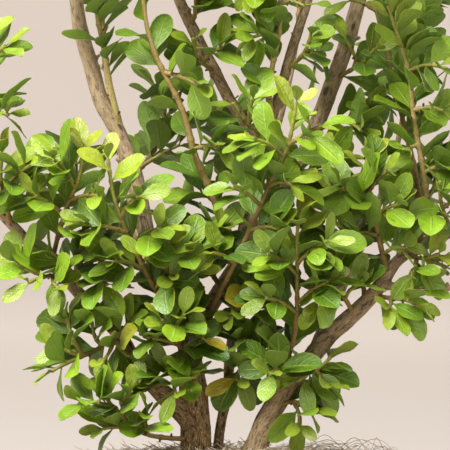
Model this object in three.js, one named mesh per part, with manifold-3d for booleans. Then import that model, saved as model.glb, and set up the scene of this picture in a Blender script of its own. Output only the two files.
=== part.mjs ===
// Caroline upright japanese holly, kept as a small multi-stemmed bonsai in an oval stoneware pot.
// Millimetres, +Z up. The origin is under the middle of the pot, on the surface that it stands on.
// Places on the plant are [x, y, height above the ground line], with the front of the tree towards -Y.
import * as THREE from "three";
import { mergeVertices } from "three/addons/utils/BufferGeometryUtils.js";
import Module from "manifold-3d";

const wasm = await Module();
wasm.setup();

// Pot
const POT_RADIUS = 118; // half of the pot's length over the rim
const POT_SHARE = 0.77; // width of the oval for each unit of its length
const POT_HEIGHT = 60;
const RIM_DROP = 8;
const RIM_OVERHANG = 6;
const WALL = 7;
const FLOOR_TOP = 13.5;
const FOOT_HEIGHT = 7;
const FOOT_SINK = 1.5; // how far a foot runs up into the body
const FOOT_LENGTH = 32;
const FOOT_WIDTH = 15;
const FOOT_ROUND = 5;
const FOOT_X = 64;
const FOOT_Y = 46;
const FOOT_TURN = 0.42; // radians, so that each foot follows the oval
const DRAIN_RADIUS = 9;
const POT_SEGMENTS = 28;

// Ground
const GROUND = 66; // height of the ground line beside the trunks
const GAP = 0.35; // clearance between pieces that touch on the real plant
const LIMB_SIDES = 7;
const MOSS_DEPTH = 2.6;
const MOSS_RADIUS = 101;
const MOSS_SEGMENTS = 20;
const MESH_RADIUS = 15;
const MESH_DEPTH = 1.2;

// Leaves
const LEAF_THICKNESS = 0.7;
const YOUNG_LEAF = 9;
const GROWN_LEAF = 21.5;
const LEAF_WIDTH = 0.55; // width for each unit of length
const MAIN_GAP = 6.2; // spacing of the leaves down a main shoot
const SPUR_GAP = 3.1;
const TURN = 2.3998; // radians from one leaf to the next round the stem
const CLEARANCE = 2.3; // least distance between marks on two leaves
const TRIES = 4;
const BAND = 1.7; // length of stem that a leaf or a spur grows out of
const SQUARE = 1.2; // corner distance of a square stem for each unit of a round one's radius
const SEED = 20573;

const UP = new THREE.Vector3(0, 0, 1);

// Woody limbs. Each point is [x, y, height, radius].
const LIMBS = {
  main: [
    [-14.5, 0, -22, 8.8], [-14.5, 0, 0, 8], [-15.5, 0, 25, 7.3], [-17, 0, 42, 6.2], [-20, 2, 62, 5.3],
    [-30, 4, 83, 4.8], [-38.5, 6, 106, 4.4], [-46, 8, 140, 4.2], [-54, 9, 160, 4.1], [-62.5, 10, 176, 4.1],
    [-67, 10, 192, 4], [-72.5, 10, 211, 3.8], [-75, 9, 228, 3.4], [-78, 6, 258, 2.4], [-77, 3, 284, 1.5],
  ],
  left: [
    [-15, 0, 13, 6], [-26, -1, 24, 5.2], [-36.5, -2, 34, 4.5], [-46, -3, 46, 4], [-52, -4, 57, 3.6],
    [-60, -5, 66, 3.3], [-69.5, -5, 75, 3.1], [-78, -4, 85, 3], [-92.5, -2, 99, 2.9], [-105.5, 0, 112, 2.8],
    [-119, 3, 127, 2.5], [-136, 6, 150, 2.1], [-150, 6, 176, 1.6],
  ],
  grey: [
    [-17, 1, 44, 4.6], [-12.5, 7, 63.5, 4.4], [-1.5, 13, 81, 4.3], [10, 18, 98.5, 4.2], [18.5, 20, 111, 4.1],
    [27, 21, 122, 4], [34.5, 21, 138, 3.9], [43, 21, 155, 3.8], [51.5, 21, 177, 4.2], [61, 20, 203, 4.1],
    [67.5, 18, 226, 3.8], [76, 15, 256, 2.7], [80, 11, 280, 1.6],
  ],
  slim: [
    [-3, 6, -22, 3], [-3.5, 6, 0, 2.6], [-1.5, 6, 16.5, 2.6], [1.5, 6, 28, 2.6], [2, 7, 42, 2.6],
    [4, 8, 60, 2.5], [5.5, 8, 81, 2.6], [7, 8, 98, 2.6], [10, 8, 117, 2.6], [14, 8, 137, 2.7],
    [21, 7, 158, 2.7], [27, 6, 178, 2.7], [34, 6, 202, 2.6], [42, 6, 227, 2.3], [49, 4, 254, 1.8],
    [52, 2, 276, 1.3],
  ],
  cross: [
    [19, 7, 149, 2.4], [15, 9, 156, 2.6], [8.5, 10, 166, 2.8], [1, 11, 178, 3], [-5, 11, 190, 3],
    [-13, 11, 205, 3], [-23, 10, 226, 2.8], [-31, 7, 250, 2], [-35, 4, 272, 1.2],
  ],
  right: [
    [2, 2, -22, 6.4], [8, 1, -9, 6.1], [15, 0, 1, 5.8], [21, -1, 16, 5.4], [31, -3, 32, 4.9],
    [40, -4, 43, 4.6], [51.5, -6, 57.5, 4.4], [61, -7, 66, 4.3], [70.5, -7, 75, 4], [78, -7, 84, 3.5],
    [87, -4, 96, 2.9], [102, -1, 104, 2.5], [114, 2, 110, 2.2], [132, 6, 126, 1.9], [148, 8, 150, 1.4],
  ],
  side: [
    [76, -7, 82, 2.2], [88, -9, 83, 1.8], [101, -9, 82.5, 1.6], [114, -8, 82, 1.4], [132, -6, 90, 1.2],
  ],
  backLeft: [
    [-17, 3, 46, 3.6], [-26, 20, 66, 3.3], [-38, 40, 92, 3], [-48, 56, 124, 2.6], [-56, 69, 160, 2.2],
    [-62, 77, 196, 1.7], [-64, 79, 226, 1.2],
  ],
  backMiddle: [
    [10, 18, 99, 2.8], [13, 34, 116, 2.7], [20, 52, 142, 2.4], [30, 67, 174, 2], [37, 76, 208, 1.6],
    [40, 79, 238, 1.1],
  ],
  backRight: [
    [42, -4, 46, 2.8], [50, 14, 62, 2.6], [62, 34, 86, 2.4], [76, 52, 116, 2.1], [88, 64, 150, 1.6],
    [94, 70, 180, 1.1],
  ],
};

// Leafy sprays. A route's points are [x, y, height]; a spur is [share of the route, x, y, height of its tip].
// leafy is the share of the route that bears leaves, and gap their spacing where it isn't the usual one.
const SPRAYS = {
  front_tall: {
    radius: 1.7, leafy: 0.62,
    route: [
      [-14, -3, 52], [-8, -9, 67], [-4, -14, 77], [2, -20, 89], [10, -27, 106], [17.5, -33, 123],
      [25, -38, 141], [31, -41, 153], [35, -45, 174],
    ],
    spurs: [
      [0.36, -6, -34, 100], [0.5, 26, -40, 112], [0.6, 4, -46, 132], [0.68, 32, -46, 134],
      [0.8, 14, -50, 156], [0.84, 47, -50, 162],
    ],
  },
  left_front: {
    radius: 1.5, leafy: 0.8,
    route: [
      [-19.5, -1, 58], [-27, -8, 68], [-33, -13, 79], [-38.5, -18, 88], [-47, -24, 107],
      [-51.5, -28, 118], [-55, -32, 129], [-57.5, -36, 146],
    ],
    spurs: [
      [0.3, -26, -34, 88], [0.42, -54, -32, 96], [0.52, -32, -40, 112], [0.62, -70, -36, 114],
      [0.7, -42, -44, 128],
    ],
  },
  mid_front: {
    radius: 1.5, leafy: 0.85,
    route: [
      [31, -3, 33], [29, -10, 42], [33, -16, 53], [35.5, -21, 68], [35.5, -31, 95], [35.5, -37, 108],
      [36, -42, 119],
    ],
    spurs: [
      [0.12, 22, -30, 40], [0.45, 20, -38, 78], [0.5, 51, -38, 86], [0.66, 21, -46, 100],
      [0.72, 50, -46, 106],
    ],
  },
  left_fan: {
    radius: 1.3, leafy: 0.8,
    route: [
      [-86, -3, 93], [-85, -8, 100], [-80, -15, 118], [-75, -20, 130], [-72, -23, 137],
      [-69, -29, 153],
    ],
    spurs: [[0.25, -68, -24, 108], [0.42, -94, -26, 128], [0.55, -62, -32, 128], [0.66, -84, -36, 146]],
  },
  left_edge: {
    radius: 1.3, leafy: 0.85,
    route: [[-107, 0, 113], [-109, -10, 124], [-111, -19, 136], [-110, -26, 149]],
    spurs: [[0.25, -98, -18, 125], [0.5, -96, -31, 143], [0.6, -125, -28, 146]],
  },
  left_high: {
    radius: 1.2, leafy: 0.7, gap: 8,
    route: [[-126, 4, 137], [-124, -6, 156], [-121, -13, 174], [-118, -19, 190], [-118, -24, 207]],
    spurs: [[0.45, -107, -20, 168], [0.55, -136, -20, 182], [0.78, -108, -27, 202]],
  },
  left_under: {
    radius: 1.2, leafy: 0.85,
    route: [[-80, -4, 87], [-86, -12, 88], [-92, -20, 87], [-97, -26, 85]],
    spurs: [[0.35, -82, -26, 82], [0.55, -104, -18, 95]],
  },
  left_inner: {
    radius: 1.2, leafy: 0.8,
    route: [[-70, -5, 75], [-74, -10, 88], [-73, -14, 97], [-70.5, -17, 106], [-70, -20, 114]],
    spurs: [[0.25, -58, -22, 84], [0.42, -55, -26, 98], [0.3, -86, -18, 100]],
  },
  low_left: {
    radius: 1.3, leafy: 0.85,
    route: [[-53, -4, 59], [-59, -10, 55], [-66, -15, 50], [-73, -19, 49], [-82, -22, 53]],
    spurs: [[0.35, -66, -18, 66], [0.6, -86, -23, 41], [0.66, -78, -22, 67]],
  },
  basal_left: {
    radius: 1.3, leafy: 0.72,
    route: [
      [-17, -2, 6], [-28, -9, 7], [-38, -15, 9], [-46, -20, 13], [-52, -23, 20], [-58, -26, 27],
      [-62, -28, 34],
    ],
    spurs: [[0.4, -38, -27, 20], [0.55, -60, -28, 13], [0.7, -46, -32, 32], [0.8, -72, -32, 26]],
  },
  low_hang: {
    radius: 1.2, leafy: 0.85,
    route: [[-57, -5, 63], [-55, -14, 57], [-57, -22, 51], [-61, -29, 45]],
    spurs: [[0.4, -47, -25.5, 48.5], [0.35, -47, -20, 66]],
  },
  middle_left: {
    radius: 1.4, leafy: 0.8,
    route: [[-25, 3, 73], [-26, -8, 80], [-28, -19, 88], [-29, -29, 96], [-28, -37, 106]],
    spurs: [[0.35, -14, -26, 90], [0.55, -16, -38, 102], [0.62, -40, -38, 98]],
  },
  trunk_front: {
    radius: 1.4, leafy: 0.85,
    route: [[-17, 0, 43], [-20, -10, 49], [-24, -20, 55], [-28, -29, 61], [-31, -36, 67]],
    spurs: [[0.35, -11, -25, 58], [0.5, -39, -28, 58], [0.66, -20, -39, 70], [0.45, -26, -20, 70]],
  },
  trunk_low: {
    radius: 1.3, leafy: 0.9,
    route: [[-17, 0, 30], [-21, -10, 33], [-25, -18, 37], [-29, -26, 43]],
    spurs: [[0.4, -13, -23, 40], [0.5, -37, -21, 33], [0.66, -24, -32, 29]],
  },
  centre_left: {
    radius: 1.3, leafy: 0.85,
    route: [[-2, 13, 81], [-8, 4, 91], [-11, -6, 99], [-12, -15, 109]],
    spurs: [[0.4, -22, -4, 100], [0.6, -2, -14, 112]],
  },
  centre_low: {
    radius: 1.3, leafy: 0.9,
    route: [[4.5, 8, 66], [8, 0, 72], [12, -8, 78], [14, -16, 86]],
    spurs: [[0.4, 22, -6, 76], [0.55, 2, -16, 68], [0.7, 24, -18, 92]],
  },
  centre_back: {
    radius: 1.3, leafy: 0.85,
    route: [[27, 21, 122], [22, 32, 130], [16, 42, 138], [12, 50, 149]],
    spurs: [[0.4, 28, 44, 140], [0.6, 4, 42, 150]],
  },
  centre_right: {
    radius: 1.3, leafy: 0.85,
    route: [[33, 21, 135], [38, 11, 138], [43, 2, 141], [47, -6, 147]],
    spurs: [[0.4, 34, -2, 146], [0.6, 58, 2, 146]],
  },
  low_middle: {
    radius: 1.3, leafy: 0.9,
    route: [[2, 7, 42], [8, 0, 46], [14, -7, 48], [19, -14, 53]],
    spurs: [[0.3, 6, -12, 36], [0.6, 23, -14, 40], [0.5, 6, -14, 57]],
  },
  right_low: {
    radius: 1.3, leafy: 0.9,
    route: [[39, -4, 42], [43, -12, 42], [47, -19, 39], [50, -25, 35]],
    spurs: [[0.35, 36, -20, 36], [0.5, 54, -12, 50]],
  },
  right_foot: {
    radius: 1.2, leafy: 0.8,
    route: [[25, -2, 22], [33, -9, 25], [40, -14, 24], [46, -18, 20]],
    spurs: [[0.45, 37, -18, 14], [0.55, 48, -9, 28]],
  },
  fork_under: {
    radius: 1.3, leafy: 0.85,
    route: [[73, -7, 78], [82, -14, 77], [90, -19, 76], [96, -23, 73]],
    spurs: [[0.4, 80, -24, 72], [0.5, 100, -16, 84]],
  },
  fork_up: {
    radius: 1.5, leafy: 0.85,
    route: [[81, -6, 88], [78, -12, 100], [75, -15, 112], [71, -18, 125], [70, -20, 146]],
    spurs: [
      [0.2, 89, -22, 102], [0.36, 62, -24, 108], [0.5, 86, -28, 124], [0.62, 58, -26, 132],
      [0.72, 80, -30, 140],
    ],
  },
  fork_left: {
    radius: 1.3, leafy: 0.85,
    route: [[70.5, -7, 75], [67, -3, 90], [62, -5, 103], [57, -8, 116], [52, -11, 132]],
    spurs: [[0.35, 52, -12, 98], [0.5, 70, 4, 114], [0.64, 44, -14, 120]],
  },
  fork_inner: {
    radius: 1.3, leafy: 0.9,
    route: [[64, -7, 69], [60, -15, 76], [55, -21, 82], [50, -26, 90]],
    spurs: [[0.4, 66, -24, 84], [0.55, 46, -28, 76]],
  },
  right_bright: {
    radius: 1.2, leafy: 0.85,
    route: [[91, -3, 98], [95, -12, 97], [100, -18, 97], [106, -22, 99]],
    spurs: [[0.4, 92, -23, 88], [0.6, 110, -14, 92]],
  },
  right_edge: {
    radius: 1.2, leafy: 0.85,
    route: [[114, 2, 110], [110, -8, 117], [107, -16, 125], [106, -22, 135]],
    spurs: [[0.4, 97, -17, 119], [0.55, 119, -18, 126]],
  },
  right_tall: {
    radius: 1.8, leafy: 0.8, gap: 7,
    route: [
      [102, -1, 104], [101.5, -5, 116], [98.5, -10, 141], [94, -13, 165], [92.5, -14, 180],
      [90, -15, 194], [84, -17, 212], [81, -17, 222],
    ],
    spurs: [[0.3, 112, -14, 142], [0.42, 84, -16, 144], [0.56, 108, -22, 170], [0.72, 106, -26, 192]],
  },
  right_back: {
    radius: 1.6, leafy: 0.7, gap: 9,
    route: [
      [97, -2, 102], [99, 7, 116], [97.5, 11, 128], [94.5, 13, 145], [86, 14, 180], [81, 12, 201],
      [76, 9, 221], [72, 2, 250],
    ],
    spurs: [[0.5, 74, 6, 166], [0.62, 98, 20, 192], [0.8, 62, 8, 226], [0.86, 84, 22, 240]],
  },
  left_slender: {
    radius: 2.1, leafy: 0.85, gap: 8,
    route: [
      [6.5, 7, 97], [3.5, 2, 106], [-1, -3, 115], [-7.5, -9, 131], [-15, -13, 148], [-18.5, -15, 162],
      [-24, -17, 177], [-35, -20, 199], [-40, -21, 221], [-42, -23, 256],
    ],
    spurs: [[0.2, -16, -2, 128], [0.36, -2, -22, 152], [0.6, -12, -28, 182], [0.92, -30, -30, 250]],
  },
  tan_shoot: {
    radius: 1.8, leafy: 0.8, gap: 9.5,
    route: [
      [-52, 9, 157], [-53, 7.5, 164], [-54.8, 5, 171], [-58, 3.5, 185], [-60.5, 2, 201], [-64.5, 0, 223],
      [-68, -4, 264],
    ],
    spurs: [[0.75, -54, -8, 244], [0.85, -80, -10, 258]],
  },
  thin_shoot: {
    radius: 1.5, leafy: 0.85, gap: 7,
    route: [
      [24, 6.5, 167], [22.5, 2, 173], [22, -1, 181], [24.5, -3, 197], [27, -4, 209], [27.5, -4, 226],
      [27, -6, 260],
    ],
    spurs: [[0.45, 12, -8, 206], [0.62, 40, -8, 222], [0.7, 13, -10, 228], [0.85, 38, -12, 250]],
  },
  grey_right: {
    radius: 1.2, leafy: 0.85, gap: 8,
    route: [[55, 21, 186], [62, 12, 190], [69, 4, 194], [75, -2, 201]],
    spurs: [[0.55, 60, 0, 206]],
  },
  grey_middle: {
    radius: 1.2, leafy: 0.85, gap: 8,
    route: [[45, 21, 160], [54, 12, 164], [63, 5, 167], [71, 0, 172]],
    spurs: [[0.55, 68, -6, 160]],
  },
  slim_right: {
    radius: 1.2, leafy: 0.85, gap: 7,
    route: [[31, 6, 191], [37, -1, 196], [41, -8, 202], [43, -14, 210]],
    spurs: [[0.5, 50, 2, 196]],
  },
  slim_left: {
    radius: 1.2, leafy: 0.85, gap: 6,
    route: [[21, 7, 158], [14.5, -3, 161], [9, -10, 166], [4, -15, 174]],
    spurs: [[0.5, 14, -16, 176]],
  },
  cross_left: {
    radius: 1.2, leafy: 0.8, gap: 7,
    route: [[-5, 11, 190], [-10, 3, 193], [-14, -4, 198], [-16, -10, 206]],
    spurs: [[0.45, -1, -4, 202]],
  },
  cross_high: {
    radius: 1.2, leafy: 0.8,
    route: [[-17, 11, 213], [-15, 2, 219], [-14, -6, 228], [-12, -12, 239]],
    spurs: [[0.4, -3, 0, 232], [0.6, -24, -8, 240]],
  },
  left_end_back: {
    radius: 1.3, leafy: 0.8,
    route: [[-119, 3, 127], [-128, 16, 136], [-136, 32, 148], [-142, 46, 162]],
  },
  left_end: {
    radius: 1.5, leafy: 0.85,
    route: [[-148, 6, 172], [-157, 4, 187], [-163, 0, 202], [-164, -4, 220]],
  },
  side_end: {
    radius: 1.2, leafy: 0.85,
    route: [[129, -6, 88], [140, -8, 96], [150, -13, 105], [156, -20, 116]],
  },
  right_end: {
    radius: 1.4, leafy: 0.85,
    route: [[145, 8, 146], [155, 6, 161], [162, 2, 177], [165, -4, 195]],
  },
  main_top: {
    radius: 1.5, leafy: 0.85,
    route: [[-77.5, 4, 280], [-75, 0, 292], [-72, -6, 304], [-70, -10, 316]],
  },
  main_top_front: {
    radius: 1.4, leafy: 0.8,
    route: [[-76.5, 7, 245], [-84, -16, 254], [-92, -44, 262], [-96, -72, 273]],
  },
  slim_top: {
    radius: 1.4, leafy: 0.85,
    route: [[51.5, 2, 272], [50, -2, 286], [46, -6, 300], [43, -8, 314]],
  },
  slim_top_front: {
    radius: 1.4, leafy: 0.8,
    route: [[45.5, 5, 240], [50, -24, 250], [55, -58, 260], [57, -94, 269]],
  },
  grey_top: {
    radius: 1.5, leafy: 0.85,
    route: [[79, 12, 275], [86, 12, 288], [92, 10, 300], [95, 6, 312]],
  },
  cross_top: {
    radius: 1.4, leafy: 0.85,
    route: [[-34.5, 5, 268], [-34, 2, 282], [-30, -2, 298], [-26, -4, 314]],
  },
  back_left_low: {
    radius: 1.4, leafy: 0.85,
    route: [[-42, 47, 104], [-56, 54, 110], [-72, 60, 120], [-84, 64, 134]],
  },
  back_left_middle: {
    radius: 1.3, leafy: 0.8,
    route: [[-50, 59, 134], [-42, 67, 143], [-34, 74, 155], [-29, 78, 170]],
  },
  back_middle_low: {
    radius: 1.3, leafy: 0.8,
    route: [[18, 48, 136], [8, 57, 146], [0, 67, 158], [-4, 75, 174]],
  },
  back_right_low: {
    radius: 1.3, leafy: 0.8,
    route: [[69, 43, 102], [83, 47, 108], [97, 50, 118], [109, 52, 132]],
  },
  back_left: {
    radius: 1.4, leafy: 0.9,
    route: [[-63, 77, 211], [-65, 74, 228], [-63, 70, 245], [-58, 66, 262]],
  },
  back_middle: {
    radius: 1.4, leafy: 0.9,
    route: [[38, 76, 218], [40, 78, 236], [40, 77, 254], [35, 74, 271]],
  },
  back_right: {
    radius: 1.4, leafy: 0.9,
    route: [[92, 68, 170], [96, 73, 188], [98, 74, 206], [97, 72, 224]],
  },
};

/** A seeded draw between 0 and 1 for a list of whole numbers. */
function draw(...keys) {
  let mixed = SEED;
  for (const key of keys) {
    mixed = Math.imul(mixed ^ key, 0x9e3779b1);
    mixed ^= mixed >>> 15;
  }
  mixed = Math.imul(mixed, 0x85ebca6b);
  mixed ^= mixed >>> 13;
  return (mixed >>> 0) / 4294967296;
}

const mix = (low, high, share) => low + (high - low) * share;

function vector(values) {
  return new THREE.Vector3(values[0], values[1], values[2]);
}

/** A smooth curve through the points. */
function curveOf(points) {
  return new THREE.CatmullRomCurve3(points, false, "catmullrom", 0.5);
}

/** The unit vector square to the axis, turned by the angle from the one nearest to the reference. */
function squareTo(axis, reference, angle) {
  const first = reference.clone().addScaledVector(axis, -reference.dot(axis)).normalize();
  return first.applyAxisAngle(axis, angle);
}

/** The direction that turns round a stem are counted from. */
function referenceFor(along) {
  return Math.abs(along.y) > 0.85 ? UP : new THREE.Vector3(0, 1, 0);
}

/** A closed surface from a list of corners and a list of triangles. */
function surface(corners, triangles) {
  const made = new THREE.BufferGeometry();
  made.setAttribute("position", new THREE.Float32BufferAttribute(corners.flatMap((p) => p.toArray()), 3));
  made.setIndex(triangles);
  return made;
}

/** A round stem along a curve, whose radius follows the shares from 0 to 1 along it. */
function stemGeometry(curve, radiusAt, rings, sides) {
  const frames = curve.computeFrenetFrames(rings);
  const corners = [];
  const triangles = [];
  for (let ring = 0; ring <= rings; ring++) {
    const centre = curve.getPointAt(ring / rings);
    const radius = radiusAt(ring / rings);
    for (let side = 0; side < sides; side++) {
      const angle = (2 * Math.PI * side) / sides;
      corners.push(
        centre
          .clone()
          .addScaledVector(frames.normals[ring], radius * Math.cos(angle))
          .addScaledVector(frames.binormals[ring], radius * Math.sin(angle)),
      );
    }
  }
  for (let ring = 0; ring < rings; ring++) {
    for (let side = 0; side < sides; side++) {
      const here = ring * sides + side;
      const next = ring * sides + ((side + 1) % sides);
      triangles.push(here, next, next + sides, here, next + sides, here + sides);
    }
  }
  for (let side = 1; side < sides - 1; side++) {
    const last = rings * sides;
    triangles.push(0, side + 1, side, last, last + side, last + side + 1);
  }
  return surface(corners, triangles);
}

/** A geometry as a solid that can be joined and cut. */
function solidOf(geometry) {
  const bare = geometry.clone();
  bare.deleteAttribute("normal");
  bare.deleteAttribute("uv");
  const merged = mergeVertices(bare, 1e-4);
  return new wasm.Manifold(
    new wasm.Mesh({
      numProp: 3,
      vertProperties: merged.attributes.position.array,
      triVerts: new Uint32Array(merged.index.array),
    }),
  );
}

/** A joined or cut solid as a geometry again. */
function geometryOf(solid) {
  const mesh = solid.getMesh();
  const corners = new Float32Array(mesh.numVert * 3);
  for (let corner = 0; corner < mesh.numVert; corner++) {
    const start = corner * mesh.numProp;
    corners.set(mesh.vertProperties.subarray(start, start + 3), corner * 3);
  }
  const made = new THREE.BufferGeometry();
  made.setAttribute("position", new THREE.BufferAttribute(corners, 3));
  made.setIndex(new THREE.BufferAttribute(mesh.triVerts, 1));
  return made;
}

/** The biggest body of a solid, without the scraps that a cut leaves. */
function mainBody(solid) {
  return solid.decompose().reduce((best, body) => (body.volume() > best.volume() ? body : best));
}

/** The limb's curve and the radius at each share of it. */
function limbForm(points) {
  const curve = curveOf(points.map((point) => vector(point)));
  const lengths = curve.getLengths(200);
  const reached = points.map((_, index) => lengths[Math.round((200 * index) / (points.length - 1))]);
  const shares = reached.map((length) => length / lengths[200]);
  const radiusAt = (share) => {
    let index = 1;
    while (index < shares.length - 1 && share > shares[index]) index++;
    const part = (share - shares[index - 1]) / (shares[index] - shares[index - 1]);
    return mix(points[index - 1][3], points[index][3], part);
  };
  return { curve, radiusAt, rings: points.length - 1 };
}

/** The stems of one spray: the main one, and the spurs that stand on it. */
function stemsOf(spray, number) {
  const curve = curveOf(spray.route.map(vector));
  const length = curve.getLength();
  const stems = [
    {
      curve,
      length,
      radii: [spray.radius, 0.8],
      leafy: spray.leafy,
      gap: spray.gap ?? MAIN_GAP,
      key: number * 32,
      kept: (leaf) => leaf === 1 || (leaf > 0 && leaf % 4 === 0),
    },
  ];
  const spurs = spray.spurs ?? spursByRule(curve, length, number);
  spurs.forEach(([share, ...tip], index) => {
    const base = curve.getPointAt(share);
    const end = vector(tip);
    const middle = base.clone().lerp(end, 0.5).addScaledVector(curve.getTangentAt(share), 1.5);
    const spur = curveOf([base, middle, end]);
    stems.push({
      curve: spur,
      length: spur.getLength(),
      radii: [1, 0.75],
      leafy: 0.8,
      gap: SPUR_GAP,
      key: number * 32 + index + 1,
      kept: (leaf) => leaf === 1 || (leaf === 4 && index % 3 === 0),
      share,
    });
  });
  return stems;
}

/** Spurs in turn round a shoot, leaning along it and upwards. */
function spursByRule(curve, length, number) {
  const count = Math.max(2, Math.round(length / 17));
  const spurs = [];
  for (let index = 0; index < count; index++) {
    const share = mix(0.3, 0.86, index / (count - 1));
    const along = curve.getTangentAt(share);
    const out = squareTo(along, referenceFor(along), TURN * index + 7 * draw(number, 91));
    const reach = mix(15, 24, draw(number, 92, index));
    const way = along.multiplyScalar(0.62).addScaledVector(out, 0.78).addScaledVector(UP, 0.22).normalize();
    spurs.push([share, ...curve.getPointAt(share).addScaledVector(way, reach).toArray()]);
  }
  return spurs;
}

/** The way that the light comes from, as a leaf at this point sees it: up, and out of the crown. */
function lightAt(point) {
  const outward = new THREE.Vector3(0.35 * point.x, point.y - 15, 0).normalize();
  return outward.multiplyScalar(0.75).addScaledVector(UP, 0.7);
}

/** The leaf with this number down from the tip of a stem, on this try at finding it room. */
function leafAt(stem, number, attempt) {
  const chance = (kind) => draw(stem.key, number, kind);
  const distance = (stem.gap * number * number) / (number + 2.2) + 0.6;
  const share = 1 - distance / stem.length;
  const base = stem.curve.getPointAt(share);
  const along = stem.curve.getTangentAt(share);
  const grown = Math.min(1, (number + 1.7) / 5);
  const length = mix(YOUNG_LEAF, GROWN_LEAF, grown) * mix(0.82, 1.18, chance(1));
  const lean = mix(0.3, 1.08, grown) + mix(-0.2, 0.2, chance(2));
  const round = TURN * number + 6.2832 * draw(stem.key, 99) + mix(-0.3, 0.3, chance(3)) + 0.5 * attempt;
  const light = lightAt(base);
  const way = along
    .clone()
    .multiplyScalar(Math.cos(lean))
    .addScaledVector(squareTo(along, referenceFor(along), round), Math.sin(lean))
    .addScaledVector(light, 0.16)
    .normalize();
  const face = squareTo(way, light.addScaledVector(along, 0.35), mix(-0.45, 0.45, chance(4)));
  return {
    share,
    base,
    way,
    face,
    across: face.clone().cross(way),
    length,
    width: length * LEAF_WIDTH * mix(0.88, 1.14, chance(5)),
    fold: mix(0.1, 0.34, chance(6)),
    droop: mix(0.04, 0.22, chance(7)),
    number,
  };
}

/** A point of the leaf's upper face: u runs from the stalk to the tip, v is the distance from the midrib. */
function leafPoint(leaf, u, v) {
  return leaf.base
    .clone()
    .addScaledVector(leaf.way, leaf.length * u)
    .addScaledVector(leaf.across, v)
    .addScaledVector(leaf.face, leaf.fold * Math.abs(v) - leaf.droop * leaf.length * u * u);
}

/** The marks that keep two leaves, or a leaf and a stem, apart. */
function marksOf(leaf) {
  const marks = [0.36, 0.6, 0.82, 1].map((u) => leafPoint(leaf, u, 0));
  marks.push(leafPoint(leaf, 0.6, 0.36 * leaf.width), leafPoint(leaf, 0.6, -0.36 * leaf.width));
  return marks;
}

/** Places the leaves, with room between them: the outermost on each stem and some below it. */
function placeLeaves(stems, woodMarks) {
  const placed = [];
  const taken = [];
  for (const stem of stems) {
    for (let number = 0; ; number++) {
      const distance = (stem.gap * number * number) / (number + 2.2) + 0.6;
      if (distance > stem.length * stem.leafy) break;
      if (!stem.kept(number)) continue;
      for (let attempt = 0; attempt < TRIES; attempt++) {
        const leaf = leafAt(stem, number, attempt);
        const marks = marksOf(leaf);
        const clear = (other, room) => marks.every((mark) => mark.distanceToSquared(other) > room * room);
        const hitsWood = ([other, radius, key]) => key !== stem.key && !clear(other, radius + 0.9);
        if (!taken.every((other) => clear(other, CLEARANCE)) || woodMarks.some(hitsWood)) continue;
        taken.push(...marks);
        placed.push({ ...leaf, stem });
        break;
      }
    }
  }
  return placed;
}

/** Points along the limbs and stems, each with its radius and the key of the stem that it is on. */
function woodMarksOf(limbs, stems, spacing = 4) {
  const marks = [];
  for (const limb of limbs) {
    const steps = Math.ceil(limb.curve.getLength() / spacing);
    for (let step = 0; step <= steps; step++) {
      marks.push([limb.curve.getPointAt(step / steps), limb.radiusAt(step / steps), -1]);
    }
  }
  for (const stem of stems) {
    const steps = Math.ceil(stem.length / 3);
    for (let step = 0; step <= steps; step++) {
      const radius = mix(stem.radii[0], stem.radii[1], step / steps);
      marks.push([stem.curve.getPointAt(step / steps), radius, stem.key]);
    }
  }
  return marks;
}

/** The six corners across a leaf at u: right, middle and left above, then left, middle and right below. */
function bladeCorners(leaf, u, half) {
  const upper = [half, 0, -half].map((v) => leafPoint(leaf, u, v));
  const lower = upper.map((point) => point.clone().addScaledVector(leaf.face, -LEAF_THICKNESS));
  return [...upper, ...lower.reverse()];
}

/** A leaf as two solids of its own, the foot and the blade, a little thicker, to see what it would cross. */
function leafPieces(leaf) {
  const thick = { ...leaf, base: leaf.base.clone().addScaledVector(leaf.face, 0.15) };
  const spans = [
    [0.06, 0.16, 0.3, 0.3, 0.34],
    [0.3, 0.3, 0.62, 0.5, 1.03],
  ];
  return spans.map(([near, nearHalf, far, farHalf, end]) => {
    const corners = [
      ...bladeCorners(thick, near, nearHalf * leaf.width),
      ...bladeCorners(thick, far, farHalf * leaf.width),
      leafPoint(leaf, end, 0),
    ];
    const triangles = [0, 5, 4, 0, 4, 1, 1, 4, 3, 1, 3, 2];
    for (let side = 0; side < 6; side++) {
      const next = (side + 1) % 6;
      triangles.push(side, next, 6 + next, side, 6 + next, 6 + side, 6 + side, 6 + next, 12);
    }
    return pieceOf(solidOf(surface(corners, triangles)));
  });
}

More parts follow.
